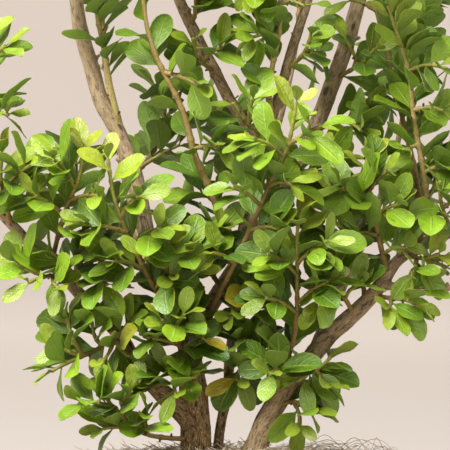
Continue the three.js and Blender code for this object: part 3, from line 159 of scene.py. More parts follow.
# Leafy sprays in millimetres: radius, share of the route that bears leaves, spacing of the leaves, the
# route's points by x, y and height, and the spurs, each its share of the route and its tip. Where no
# spur is given, they follow a rule.
SPRAYS = {
    "front_tall": (1.7, 0.62, 6.2, [
        (-14, -3, 52), (-8, -9, 67), (-4, -14, 77), (2, -20, 89), (10, -27, 106), (17.5, -33, 123),
        (25, -38, 141), (31, -41, 153), (35, -45, 174)], [
        (0.36, -6, -34, 100), (0.5, 26, -40, 112), (0.6, 4, -46, 132), (0.68, 32, -46, 134),
        (0.8, 14, -50, 156), (0.84, 47, -50, 162)]),
    "left_front": (1.5, 0.8, 6.2, [
        (-19.5, -1, 58), (-27, -8, 68), (-33, -13, 79), (-38.5, -18, 88), (-47, -24, 107),
        (-51.5, -28, 118), (-55, -32, 129), (-57.5, -36, 146)], [
        (0.3, -26, -34, 88), (0.42, -54, -32, 96), (0.52, -32, -40, 112), (0.62, -70, -36, 114),
        (0.7, -42, -44, 128)]),
    "mid_front": (1.5, 0.85, 6.2, [
        (31, -3, 33), (29, -10, 42), (33, -16, 53), (35.5, -21, 68), (35.5, -31, 95), (35.5, -37, 108),
        (36, -42, 119)], [
        (0.12, 22, -30, 40), (0.45, 20, -38, 78), (0.5, 51, -38, 86), (0.66, 21, -46, 100),
        (0.72, 50, -46, 106)]),
    "left_fan": (1.3, 0.8, 6.2, [
        (-86, -3, 93), (-85, -8, 100), (-80, -15, 118), (-75, -20, 130), (-72, -23, 137),
        (-69, -29, 153)], [
        (0.25, -68, -24, 108), (0.42, -94, -26, 128), (0.55, -62, -32, 128), (0.66, -84, -36, 146)]),
    "left_edge": (1.3, 0.85, 6.2, [
        (-107, 0, 113), (-109, -10, 124), (-111, -19, 136), (-110, -26, 149)], [
        (0.25, -98, -18, 125), (0.5, -96, -31, 143), (0.6, -125, -28, 146)]),
    "left_high": (1.2, 0.7, 8, [
        (-126, 4, 137), (-124, -6, 156), (-121, -13, 174), (-118, -19, 190), (-118, -24, 207)], [
        (0.45, -107, -20, 168), (0.55, -136, -20, 182), (0.78, -108, -27, 202)]),
    "left_under": (1.2, 0.85, 6.2, [
        (-80, -4, 87), (-86, -12, 88), (-92, -20, 87), (-97, -26, 85)], [
        (0.35, -82, -26, 82), (0.55, -104, -18, 95)]),
    "left_inner": (1.2, 0.8, 6.2, [
        (-70, -5, 75), (-74, -10, 88), (-73, -14, 97), (-70.5, -17, 106), (-70, -20, 114)], [
        (0.25, -58, -22, 84), (0.42, -55, -26, 98), (0.3, -86, -18, 100)]),
    "low_left": (1.3, 0.85, 6.2, [
        (-53, -4, 59), (-59, -10, 55), (-66, -15, 50), (-73, -19, 49), (-82, -22, 53)], [
        (0.35, -66, -18, 66), (0.6, -86, -23, 41), (0.66, -78, -22, 67)]),
    "basal_left": (1.3, 0.72, 6.2, [
        (-17, -2, 6), (-28, -9, 7), (-38, -15, 9), (-46, -20, 13), (-52, -23, 20), (-58, -26, 27),
        (-62, -28, 34)], [
        (0.4, -38, -27, 20), (0.55, -60, -28, 13), (0.7, -46, -32, 32), (0.8, -72, -32, 26)]),
    "low_hang": (1.2, 0.85, 6.2, [
        (-57, -5, 63), (-55, -14, 57), (-57, -22, 51), (-61, -29, 45)], [
        (0.4, -47, -25.5, 48.5), (0.35, -47, -20, 66)]),
    "middle_left": (1.4, 0.8, 6.2, [
        (-25, 3, 73), (-26, -8, 80), (-28, -19, 88), (-29, -29, 96), (-28, -37, 106)], [
        (0.35, -14, -26, 90), (0.55, -16, -38, 102), (0.62, -40, -38, 98)]),
    "trunk_front": (1.4, 0.85, 6.2, [
        (-17, 0, 43), (-20, -10, 49), (-24, -20, 55), (-28, -29, 61), (-31, -36, 67)], [
        (0.35, -11, -25, 58), (0.5, -39, -28, 58), (0.66, -20, -39, 70), (0.45, -26, -20, 70)]),
    "trunk_low": (1.3, 0.9, 6.2, [
        (-17, 0, 30), (-21, -10, 33), (-25, -18, 37), (-29, -26, 43)], [
        (0.4, -13, -23, 40), (0.5, -37, -21, 33), (0.66, -24, -32, 29)]),
    "centre_left": (1.3, 0.85, 6.2, [
        (-2, 13, 81), (-8, 4, 91), (-11, -6, 99), (-12, -15, 109)], [
        (0.4, -22, -4, 100), (0.6, -2, -14, 112)]),
    "centre_low": (1.3, 0.9, 6.2, [
        (4.5, 8, 66), (8, 0, 72), (12, -8, 78), (14, -16, 86)], [
        (0.4, 22, -6, 76), (0.55, 2, -16, 68), (0.7, 24, -18, 92)]),
    "centre_back": (1.3, 0.85, 6.2, [
        (27, 21, 122), (22, 32, 130), (16, 42, 138), (12, 50, 149)], [
        (0.4, 28, 44, 140), (0.6, 4, 42, 150)]),
    "centre_right": (1.3, 0.85, 6.2, [
        (33, 21, 135), (38, 11, 138), (43, 2, 141), (47, -6, 147)], [
        (0.4, 34, -2, 146), (0.6, 58, 2, 146)]),
    "low_middle": (1.3, 0.9, 6.2, [
        (2, 7, 42), (8, 0, 46), (14, -7, 48), (19, -14, 53)], [
        (0.3, 6, -12, 36), (0.6, 23, -14, 40), (0.5, 6, -14, 57)]),
    "right_low": (1.3, 0.9, 6.2, [
        (39, -4, 42), (43, -12, 42), (47, -19, 39), (50, -25, 35)], [
        (0.35, 36, -20, 36), (0.5, 54, -12, 50)]),
    "right_foot": (1.2, 0.8, 6.2, [
        (25, -2, 22), (33, -9, 25), (40, -14, 24), (46, -18, 20)], [
        (0.45, 37, -18, 14), (0.55, 48, -9, 28)]),
    "fork_under": (1.3, 0.85, 6.2, [
        (73, -7, 78), (82, -14, 77), (90, -19, 76), (96, -23, 73)], [
        (0.4, 80, -24, 72), (0.5, 100, -16, 84)]),
    "fork_up": (1.5, 0.85, 6.2, [
        (81, -6, 88), (78, -12, 100), (75, -15, 112), (71, -18, 125), (70, -20, 146)], [
        (0.2, 89, -22, 102), (0.36, 62, -24, 108), (0.5, 86, -28, 124), (0.62, 58, -26, 132),
        (0.72, 80, -30, 140)]),
    "fork_left": (1.3, 0.85, 6.2, [
        (70.5, -7, 75), (67, -3, 90), (62, -5, 103), (57, -8, 116), (52, -11, 132)], [
        (0.35, 52, -12, 98), (0.5, 70, 4, 114), (0.64, 44, -14, 120)]),
    "fork_inner": (1.3, 0.9, 6.2, [
        (64, -7, 69), (60, -15, 76), (55, -21, 82), (50, -26, 90)], [
        (0.4, 66, -24, 84), (0.55, 46, -28, 76)]),
    "right_bright": (1.2, 0.85, 6.2, [
        (91, -3, 98), (95, -12, 97), (100, -18, 97), (106, -22, 99)], [
        (0.4, 92, -23, 88), (0.6, 110, -14, 92)]),
    "right_edge": (1.2, 0.85, 6.2, [
        (114, 2, 110), (110, -8, 117), (107, -16, 125), (106, -22, 135)], [
        (0.4, 97, -17, 119), (0.55, 119, -18, 126)]),
    "right_tall": (1.8, 0.8, 7, [
        (102, -1, 104), (101.5, -5, 116), (98.5, -10, 141), (94, -13, 165), (92.5, -14, 180),
        (90, -15, 194), (84, -17, 212), (81, -17, 222)], [
        (0.3, 112, -14, 142), (0.42, 84, -16, 144), (0.56, 108, -22, 170), (0.72, 106, -26, 192)]),
    "right_back": (1.6, 0.7, 9, [
        (97, -2, 102), (99, 7, 116), (97.5, 11, 128), (94.5, 13, 145), (86, 14, 180), (81, 12, 201),
        (76, 9, 221), (72, 2, 250)], [
        (0.5, 74, 6, 166), (0.62, 98, 20, 192), (0.8, 62, 8, 226), (0.86, 84, 22, 240)]),
    "left_slender": (2.1, 0.85, 8, [
        (6.5, 7, 97), (3.5, 2, 106), (-1, -3, 115), (-7.5, -9, 131), (-15, -13, 148), (-18.5, -15, 162),
        (-24, -17, 177), (-35, -20, 199), (-40, -21, 221), (-42, -23, 256)], [
        (0.2, -16, -2, 128), (0.36, -2, -22, 152), (0.6, -12, -28, 182), (0.92, -30, -30, 250)]),
    "tan_shoot": (1.8, 0.8, 9.5, [
        (-52, 9, 157), (-53, 7.5, 164), (-54.8, 5, 171), (-58, 3.5, 185), (-60.5, 2, 201), (-64.5, 0, 223),
        (-68, -4, 264)], [
        (0.75, -54, -8, 244), (0.85, -80, -10, 258)]),
    "thin_shoot": (1.5, 0.85, 7, [
        (24, 6.5, 167), (22.5, 2, 173), (22, -1, 181), (24.5, -3, 197), (27, -4, 209), (27.5, -4, 226),
        (27, -6, 260)], [
        (0.45, 12, -8, 206), (0.62, 40, -8, 222), (0.7, 13, -10, 228), (0.85, 38, -12, 250)]),
    "grey_right": (1.2, 0.85, 8, [
        (55, 21, 186), (62, 12, 190), (69, 4, 194), (75, -2, 201)], [
        (0.55, 60, 0, 206)]),
    "grey_middle": (1.2, 0.85, 8, [
        (45, 21, 160), (54, 12, 164), (63, 5, 167), (71, 0, 172)], [
        (0.55, 68, -6, 160)]),
    "slim_right": (1.2, 0.85, 7, [
        (31, 6, 191), (37, -1, 196), (41, -8, 202), (43, -14, 210)], [
        (0.5, 50, 2, 196)]),
    "slim_left": (1.2, 0.85, 6, [
        (21, 7, 158), (14.5, -3, 161), (9, -10, 166), (4, -15, 174)], [
        (0.5, 14, -16, 176)]),
    "cross_left": (1.2, 0.8, 7, [
        (-5, 11, 190), (-10, 3, 193), (-14, -4, 198), (-16, -10, 206)], [
        (0.45, -1, -4, 202)]),
    "cross_high": (1.2, 0.8, 6.2, [
        (-17, 11, 213), (-15, 2, 219), (-14, -6, 228), (-12, -12, 239)], [
        (0.4, -3, 0, 232), (0.6, -24, -8, 240)]),
    "left_end_back": (1.3, 0.8, 6.2, [
        (-119, 3, 127), (-128, 16, 136), (-136, 32, 148), (-142, 46, 162)], []),
    "left_end": (1.5, 0.85, 6.2, [
        (-148, 6, 172), (-157, 4, 187), (-163, 0, 202), (-164, -4, 220)], []),
    "side_end": (1.2, 0.85, 6.2, [
        (129, -6, 88), (140, -8, 96), (150, -13, 105), (156, -20, 116)], []),
    "right_end": (1.4, 0.85, 6.2, [
        (145, 8, 146), (155, 6, 161), (162, 2, 177), (165, -4, 195)], []),
    "main_top": (1.5, 0.85, 6.2, [
        (-77.5, 4, 280), (-75, 0, 292), (-72, -6, 304), (-70, -10, 316)], []),
    "main_top_front": (1.4, 0.8, 6.2, [
        (-76.5, 7, 245), (-84, -16, 254), (-92, -44, 262), (-96, -72, 273)], []),
    "slim_top": (1.4, 0.85, 6.2, [
        (51.5, 2, 272), (50, -2, 286), (46, -6, 300), (43, -8, 314)], []),
    "slim_top_front": (1.4, 0.8, 6.2, [
        (45.5, 5, 240), (50, -24, 250), (55, -58, 260), (57, -94, 269)], []),
    "grey_top": (1.5, 0.85, 6.2, [
        (79, 12, 275), (86, 12, 288), (92, 10, 300), (95, 6, 312)], []),
    "cross_top": (1.4, 0.85, 6.2, [
        (-34.5, 5, 268), (-34, 2, 282), (-30, -2, 298), (-26, -4, 314)], []),
    "back_left_low": (1.4, 0.85, 6.2, [
        (-42, 47, 104), (-56, 54, 110), (-72, 60, 120), (-84, 64, 134)], []),
    "back_left_middle": (1.3, 0.8, 6.2, [
        (-50, 59, 134), (-42, 67, 143), (-34, 74, 155), (-29, 78, 170)], []),
    "back_middle_low": (1.3, 0.8, 6.2, [
        (18, 48, 136), (8, 57, 146), (0, 67, 158), (-4, 75, 174)], []),
    "back_right_low": (1.3, 0.8, 6.2, [
        (69, 43, 102), (83, 47, 108), (97, 50, 118), (109, 52, 132)], []),
    "back_left": (1.4, 0.9, 6.2, [
        (-63, 77, 211), (-65, 74, 228), (-63, 70, 245), (-58, 66, 262)], []),
    "back_middle": (1.4, 0.9, 6.2, [
        (38, 76, 218), (40, 78, 236), (40, 77, 254), (35, 74, 271)], []),
    "back_right": (1.4, 0.9, 6.2, [
        (92, 68, 170), (96, 73, 188), (98, 74, 206), (97, 72, 224)], []),
}

# Old leaves: the one nearest to each x and height, seen from the front, turns to this share of yellow
FADED = [
    (0.056, 0.052, 0.6), (-0.004, 0.058, 0.9), (-0.004, 0.031, 0.85), (0.004, 0.078, 0.8),
    (-0.047, 0.055, 0.4), (0.073, 0.201, 0.7)]

# How grey and smooth each limb's bark is, at its foot and at its tip
BARK_TONE = {
    "main": (-0.1, 1.1), "left": (0.1, 0.6), "grey": (0.4, 1.0), "slim": (0.1, 0.5), "cross": (0.1, 0.6),
    "right": (0.5, 0.4), "side": (0.5, 0.5), "backLeft": (0.4, 0.4), "backMiddle": (0.6, 0.6),
    "backRight": (0.4, 0.4)}

# Shoots whose bark is paler or greener than the rest, and how much
STEM_TONE = {"tan_shoot": 1.0, "thin_shoot": 0.75, "right_tall": 0.4, "left_slender": 0.2}

# Main stems that show from the front, and the stretch of each that leaves keep off: no leaf lies over it
SHOWN_STEMS = {
    "front_tall": (0.2, 0.93), "left_slender": (0.3, 1.0), "mid_front": (0.3, 0.9), "left_front": (0.3, 0.88),
    "left_fan": (0.3, 0.85), "right_tall": (0.2, 0.95)}

# Limbs that show from the front, and the heights between which leaves keep off them
SHOWN_LIMBS = [
    ("main", 0.002, 0.034), ("slim", 0.002, 0.036), ("right", 0.002, 0.034), ("right", 0.05, 0.085),
    ("main", 0.165, 0.235), ("slim", 0.17, 0.235), ("grey", 0.165, 0.235), ("cross", 0.165, 0.235)]

# Where twice as many leaves stand: from and to in x, and from and to in height
DENSE = [(-0.055, 0.05, 0.04, 0.13), (-0.09, 0.11, 0.192, 0.24), (0.08, 0.115, 0.14, 0.18)]

# Sprays with a lime rosette at their tip; the rest are only a little paler there
LIME_TIPS = {
    "front_tall", "left_front", "left_fan", "mid_front", "left_edge", "fork_up", "right_tall", "fork_left",
    "right_bright", "left_slender"}

# A leaf's outline: share of its length, half width there, thickness there
LEAF_ROWS = [
    (0.0, 0.13, 2.6), (0.05, 0.08, 1.8), (0.12, 0.12, 1.5), (0.24, 0.44, 1.0), (0.39, 0.8, 1.0),
    (0.56, 0.96, 1.0), (0.74, 0.93, 1.0), (0.88, 0.72, 0.9), (0.965, 0.42, 0.7), (1.0, 0.15, 0.4)]
LEAF_COLUMNS = [-1.0, -0.5, 0.0, 0.5, 1.0]


def color_property(name, description, *screen):
    """A colour setting, given as it looks on screen, from 0 to 255, and kept in linear values."""
    linear = tuple(((value / 255 + 0.055) / 1.055) ** 2.4 for value in screen)
    return bpy.props.FloatVectorProperty(
        name=name, description=description, default=linear, subtype="COLOR", min=0, max=1)


def number_property(name, description, default, kind=bpy.props.FloatProperty, **more):
    return kind(name=name, description=description, default=default, **more)


def length_property(name, description, default):
    return number_property(name, description, default, unit="LENGTH", precision=5)


def count_property(name, description, default, least):
    return number_property(name, description, default, bpy.props.IntProperty, min=least)


class HollyFoliageSettings(bpy.types.PropertyGroup):
    """Sizes and colours of the leaves and their stems."""

    thickness: length_property("Blade thickness", "Thickness of a leaf's blade", 0.0004)
    clearance: length_property("Leaf clearance", "Least distance between marks on two leaves", 0.0026)
    stem_sides: count_property("Stem sides", "Faces round a stem", 9, 3)
    wave: length_property("Edge wave", "How far a leaf's edges rise and fall", 0.0007)
    # Painted shade and painted light on the leaves: they run from the shaded green, painted shade deep in the
    # crown, to the grown green, painted light at its outside, with some random tone between
    deep: color_property("Shaded green", "Colour of the darkest grown leaves", 50, 92, 2)
    grown: color_property("Grown green", "Colour of the brightest grown leaves", 114, 150, 16)
    fresh: color_property("Fresh green", "Colour of the youngest leaves", 150, 156, 36)
    faded: color_property("Faded yellow", "Colour of old leaves", 176, 156, 40)
    midrib: color_property("Midrib", "Colour of a leaf's midrib", 156, 180, 78)
    underside: color_property("Underside", "Colour of a leaf's lower face", 112, 140, 50)
    bud: color_property("Bud", "Colour of the buds at the leaves' feet", 78, 56, 24)
    stem_young: color_property("Young stem", "Colour of a stem's soft end", 138, 142, 52)
    stem_old: color_property("Woody stem", "Colour of a stem's woody foot", 136, 110, 56)
    stem_tan: color_property("Tan stem", "Colour of the palest shoots", 184, 168, 104)


class HollyWoodSettings(bpy.types.PropertyGroup):
    """Sizes and colours of the trunks and limbs."""

    limb_sides: count_property("Limb sides", "Faces round a limb", 24, 8)
    voxel: length_property("Joining grid", "Grid on which the limbs are joined", 0.00085)
    relief: length_property("Bark relief", "How far the bark stands out and in", 0.00042)
    brown: color_property("Brown bark", "Colour of the trunk's bark", 126, 98, 54)
    grey: color_property("Grey bark", "Colour of the paler limbs' bark", 198, 176, 144)
    crack: color_property("Crack", "Colour deep in the bark", 30, 21, 7)


class HollyGroundSettings(bpy.types.PropertyGroup):
    """Sizes and colours of the soil and the dry moss."""

    fibre_density: number_property("Fibres", "Fibres on a square metre of moss", 90000, min=0)
    wisps: count_property("Wisps", "Longer strands beside the right trunk", 46, 0)
    fibre_length: length_property("Fibre length", "Length of a fibre", 0.0095)
    fibre_radius: length_property("Fibre radius", "Radius of a fibre", 0.00016)
    fibre_lift: length_property("Fibre lift", "How far the fibres stand up and curl", 0.0021)
    moss_pale: color_property("Pale moss", "Colour of the driest fibres", 222, 210, 188)
    moss_dark: color_property("Dark moss", "Colour between the fibres", 150, 132, 104)
    soil_dark: color_property("Soil", "Colour of the soil", 62, 45, 32)
    soil_pale: color_property("Grit", "Colour of the soil's grit", 134, 112, 88)


class HollyPotSettings(bpy.types.PropertyGroup):
    """Sizes and colours of the pot and the mesh over its drain hole."""

    segments: count_property("Segments", "Faces round the pot", 144, 24)
    clay: color_property("Clay", "Colour of the unglazed clay", 124, 84, 62)
    clay_dark: color_property("Fired clay", "Colour of the clay's darker patches", 88, 58, 44)
    mesh_pitch: length_property("Mesh pitch", "Spacing of the drain mesh's strands", 0.0026)
    mesh_color: color_property("Mesh", "Colour of the drain mesh", 46, 50, 54)


class HollyStageSettings(bpy.types.PropertyGroup):
    """The floor, the lights and the camera."""

    distance: length_property("Camera distance", "Distance from the camera to the tree", 2.0)
    framed_width: length_property("Framed width", "Width that the camera takes in at the tree", 0.225)
    framed_centre: length_property("Framed height", "Height that the camera looks at", GROUND + 0.113)
    dip: number_property("Camera dip", "How far the camera looks down", math.radians(1), subtype="ANGLE")
    backdrop: color_property("Backdrop", "Colour of the floor and the wall behind", 224, 215, 208)
    key_power: number_property("Key light", "Power of the main light", 152, unit="POWER")
    fill_power: number_property("Fill light", "Power of the side light", 17, unit="POWER")
    back_power: number_property("Back light", "Power of the light over the floor behind", 35, unit="POWER")
    sky: number_property("Sky", "Strength of the light from all round", 0.43)
    sky_color: color_property("Sky colour", "Colour of the light from all round", 255, 249, 238)


# Plain helpers


def draw(*keys):
    """A seeded draw between 0 and 1 for a list of whole numbers."""
    mixed = SEED
    for key in keys:
        mixed = ((mixed ^ key) * 0x9E3779B1) & 0xFFFFFFFF
        mixed ^= mixed >> 15
    mixed = (mixed * 0x85EBCA6B) & 0xFFFFFFFF
    mixed ^= mixed >> 13
    return mixed / 4294967296


def metres(millimetres):
    return np.round(np.array(millimetres, float) / 1000, 4)


def mix(low, high, share):
    return low + (high - low) * share


def held(value):
    """The value, held between 0 and 1."""
    return min(1, max(0, value))


def unit(vector):
    return vector / np.linalg.norm(vector)


UP = np.array((0.0, 0.0, 1.0))
AWAY = np.array((0.0, 1.0, 0.0))


def square_to(axis, reference, angle):
    """The unit vector square to the axis, turned by the angle from the one nearest to the reference."""
    first = unit(reference - axis * reference.dot(axis))
    return first * math.cos(angle) + np.cross(axis, first) * math.sin(angle)


def round_stem(along, angle):
    """The way out of a stem at this angle round it."""
    return square_to(along, UP if abs(along[1]) > 0.85 else AWAY, angle)


class Route:
    """A smooth curve through points, read by the share of its length."""

    STEPS = np.linspace(0, 1, 201)

    def __init__(self, points):
        inner = np.array([point[:3] for point in points], float)
        self.points = np.vstack([2 * inner[0] - inner[1], inner, 2 * inner[-1] - inner[-2]])
        steps = np.linalg.norm(np.diff(self.place(self.STEPS), axis=0), axis=1)
        self.reached = np.concatenate([[0], np.cumsum(steps)])
        self.length = float(self.reached[-1])

    def place(self, parameter):
        """Places at the curve's own even parameter."""
        spans = len(self.points) - 3
        at = np.clip(np.atleast_1d(parameter), 0, 1) * spans
        index = np.minimum(at.astype(int), spans - 1)
        part = (at - index)[:, None]
        before, start, end, after = (self.points[index + step] for step in range(4))
        leave, arrive = (end - before) / 2, (after - start) / 2
        bend = 3 * (end - start) - 2 * leave - arrive
        return start + part * (leave + part * (bend + part * (2 * (start - end) + leave + arrive)))

    def parameter(self, share):
        return np.interp(np.atleast_1d(share) * self.length, self.reached, self.STEPS)

    def at(self, share):
        return self.place(self.parameter(share))[0]

    def along(self, share):
        parameter = self.parameter(share)
        return unit((self.place(parameter + 1e-4) - self.place(parameter - 1e-4))[0])

    def samples(self, count):
        return self.place(self.parameter(np.linspace(0, 1, count)))


class Limb:
    """A woody limb: its route, and its radius at each share of it."""

    def __init__(self, name):
        self.name = name
        points = metres(LIMBS[name])
        self.route = Route(points)
        spans = len(points) - 1
        marks = [math.floor(200 * index / spans + 0.5) for index in range(len(points))]
        self.shares = self.route.reached[marks] / self.route.length
        self.radii = points[:, 3]

    def radius(self, share):
        return np.interp(share, self.shares, self.radii)


class Stem:
    """A leafy stem: the main one of a spray, or a spur on it."""

    def __init__(self, points, radii, leafy, gap, key, in_solid):
        self.route = Route(points)
        self.radii = radii
        self.leafy = leafy
        self.gap = gap
        self.key = key
        self.in_solid = in_solid
        self.start = FULL_TURN * draw(key, 99)

    def distance(self, number):
        """How far below the stem's tip the leaf with this number stands."""
        return self.gap * number * number / (number + 2.2) + FIRST_LEAF

    def share(self, number):
        """The share of the stem at which the leaf with this number stands."""
        return 1 - self.distance(number) / self.route.length

    def numbers(self):
        number = 0
        while self.distance(number) <= self.route.length * self.leafy:
            yield number
            number += 1


def spurs_by_rule(route, number):
    """Spurs in turn round a shoot, leaning along it and upwards."""
    count = max(2, math.floor(route.length / 0.017 + 0.5))
    for index in range(count):
        share = mix(0.3, 0.86, index / (count - 1))
        along = route.along(share)
        out = round_stem(along, TURN * index + 7 * draw(number, 91))
        way = unit(along * 0.62 + out * 0.78 + UP * 0.22)
        yield share, route.at(share) + way * mix(0.015, 0.024, draw(number, 92, index))


def stems_of(spray, number):
    """The stems of one spray: the main one, and the spurs that stand on it."""
    radius, leafy, gap, route, spurs = spray
    main = Stem(
        metres(route), (metres(radius), MAIN_TIP_RADIUS), leafy, metres(gap), number * SPRAY_KEYS,
        lambda leaf: leaf == 1 or (leaf > 0 and leaf % 4 == 0))
    stems = [main]
    given = [(share, metres(tip)) for share, *tip in spurs]
    for index, (share, end) in enumerate(given or spurs_by_rule(main.route, number)):
        foot = main.route.at(share)
        middle = (foot + end) / 2 + main.route.along(share) * SPUR_BEND
        stems.append(Stem(
            [foot, middle, end], SPUR_RADII, SPUR_LEAFY, SPUR_GAP, main.key + index + 1,
            lambda leaf, third=index % 3 == 0: leaf == 1 or (leaf == 4 and third)))
    return stems


def light_at(point):
    """The way that the light comes from, as a leaf at this point sees it: up, and out of the crown."""
    return unit(np.array((0.35 * point[0], point[1] - 0.015, 0.0))) * 0.75 + UP * 0.7


class Leaf:
    """A leaf with this number down from the tip of a stem, on this try at finding it room.

    Leaves that fill the crown lie flatter than those of the solids.
    """

    def __init__(self, stem, number, attempt, filling):
        self.stem = stem
        self.number = number
        self.seed = number if number % 1 == 0 else 100 + int(number)
        share = stem.share(number)
        self.foot = stem.route.at(share)
        along = stem.route.along(share)
        self.grown = min(1, (number + 1.7) / 5)
        self.length = mix(YOUNG_LEAF, GROWN_LEAF, self.grown) * self.drawn(0.82, 1.18, 1)
        lean = mix(0.3, 1.08, self.grown) + self.drawn(-0.2, 0.2, 2)
        turn = TURN * number + stem.start + self.drawn(-0.3, 0.3, 3) + 0.5 * attempt
        light = light_at(self.foot) + UP * (0.55 if filling else 0)
        side = round_stem(along, turn)
        self.way = unit(along * math.cos(lean) + side * math.sin(lean) + light * 0.16)
        roll = self.drawn(-0.45, 0.45, 4) * (1.5 if filling else 1)
        self.face = square_to(self.way, light + along * 0.35, roll)
        self.across = np.cross(self.face, self.way)
        self.width = self.length * LEAF_WIDTH * self.drawn(0.88, 1.14, 5) * mix(0.72, 1, self.grown)
        self.fold = self.drawn(0.1, 0.34, 6)
        self.droop = self.drawn(0.04, 0.22, 7)

    def drawn(self, low, high, kind):
        """This leaf's own draw of this kind."""
        return mix(low, high, draw(self.stem.key, self.seed, kind))

    def place(self, u, v=0.0):
        """A point of the upper face: u runs from the stalk to the tip, v is the distance from the midrib."""
        lift = self.fold * abs(v) - self.droop * self.length * u * u
        return self.foot + self.way * self.length * u + self.across * v + self.face * lift

    def marks(self):
        """The marks that keep two leaves, or a leaf and a stem, apart."""
        inner = [self.place(u) for u in (0.36, 0.6, 0.82, 1)]
        return np.array(inner + [self.place(0.6, side * 0.36 * self.width) for side in (1, -1)])


class Room:
    """Where leaves stand already, and the wood that they keep clear of."""

    def __init__(self, limbs, stems):
        wood = []
        for limb in limbs:
            count = math.ceil(limb.route.length / 0.004) + 1
            wood.append((limb.route.samples(count), limb.radius(np.linspace(0, 1, count)), [-1] * count))
        for stem in stems:
            count = math.ceil(stem.route.length / 0.003) + 1
            wood.append((stem.route.samples(count), np.linspace(*stem.radii, count), [stem.key] * count))
        self.wood, reach, self.keys = (np.concatenate(column) for column in zip(*wood))
        self.reach = reach + WOOD_CLEARANCE
        self.taken = np.zeros((0, 3))

    def place(self, stem, number, clearance, shown=None):
        """The leaf, turned until it is clear of the rest, or None where no turn is."""
        filling = shown is not None
        for attempt in range(2 * TRIES if filling else TRIES):
            leaf = Leaf(stem, number, attempt, filling)
            marks = leaf.marks()
            gaps = np.linalg.norm(self.taken[:, None] - marks, axis=2)
            if gaps.min(initial=1) <= clearance:
                continue
            near = np.linalg.norm(self.wood[:, None] - marks, axis=2).min(axis=1) <= self.reach
            if np.any(near & (self.keys != stem.key)) or (filling and lies_over(leaf, shown)):
                continue
            self.taken = np.vstack([self.taken, marks])
            return leaf
        return None


def finder_of(places):
    """A search for the nearest of these places."""
    finder = KDTree(len(places))
    for number, place in enumerate(places):
        finder.insert(place, number)
    finder.balance()
    return finder


def raised(point):
    """A point of the plant in the part's own frame, which starts under the pot."""
    return Vector(point) + Vector((0, 0, GROUND))


def shown_places(sprays, limbs):
    """Places along the stems and across the limbs that show from the front."""
    places = []
    for name, (start, end) in SHOWN_STEMS.items():
        route = sprays[name][0].route
        places += [route.at(share) for share in np.linspace(start, end, 40)]
    by_name = {limb.name: limb for limb in limbs}
    for name, low, high in SHOWN_LIMBS:
        for share in np.linspace(0, 1, 100):
            place = by_name[name].route.at(share)
            if low < place[2] < high:
                half = 0.6 * by_name[name].radius(share)
                places += [place + np.array((half * step, 0, 0)) for step in (-1, 0, 1)]
    return np.array(places)


def lies_over(leaf, places):
    """Whether a leaf lies in front of any of these places."""
    marks = leaf.marks()[:, None]
    aside = np.hypot(marks[..., 0] - places[:, 0], marks[..., 2] - places[:, 2])
    return np.any((aside < SHOWN_CLEARANCE) & (marks[..., 1] < places[:, 1] + SHOWN_DEPTH))


def is_dense(place):
    """Whether a place is in one of the crown's dense parts."""
    x, y, z = place
    return y > -0.02 and any(left < x < right and low < z < high for left, right, low, high in DENSE)


def stands_in_solid(leaf, finder):
    """Whether the spray's solid has this leaf's tip."""
    return finder.find(raised(leaf.place(1) - leaf.face * LEAF_DEPTH))[2] <= LEAF_FOUND


def grow_leaves(limbs, clearance):
    """The stems and leaves of each spray: those in the solids first, then all that still find room."""
    sprays = {name: stems_of(spray, number) for number, (name, spray) in enumerate(SPRAYS.items())}
    shown = shown_places(sprays, limbs)
    every = [stem for stems in sprays.values() for stem in stems]
    room = Room(limbs, every)
    placed = {
        (stem.key, number): room.place(stem, number, SOLID_CLEARANCE)
        for stem in every for number in stem.numbers() if stem.in_solid(number)}
    grown = {}
    for name, stems in sprays.items():
        finder = finder_of([corner.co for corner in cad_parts[name].data.vertices])
        main = stems[0]
        kept = [main]
        kept += [spur for spur in stems[1:] if finder.find(raised(spur.route.at(1)))[2] < SPUR_FOUND]
        leaves = []
        for stem in kept:
            for number in stem.numbers():
                leaf = placed.get((stem.key, number))
                if leaf is None:
                    rosette = name in LIME_TIPS and stem is main and number < 5
                    leaves.append(room.place(stem, number, clearance, shown[:0] if rosette else shown))
                elif stands_in_solid(leaf, finder):
                    leaves.append(leaf)
            for number in list(stem.numbers())[1:]:
                if is_dense(stem.route.at(stem.share(number))):
                    leaves.append(room.place(stem, number + 0.5, clearance, shown))
        grown[name] = (kept, [leaf for leaf in leaves if leaf is not None])
    return grown


# Node trees


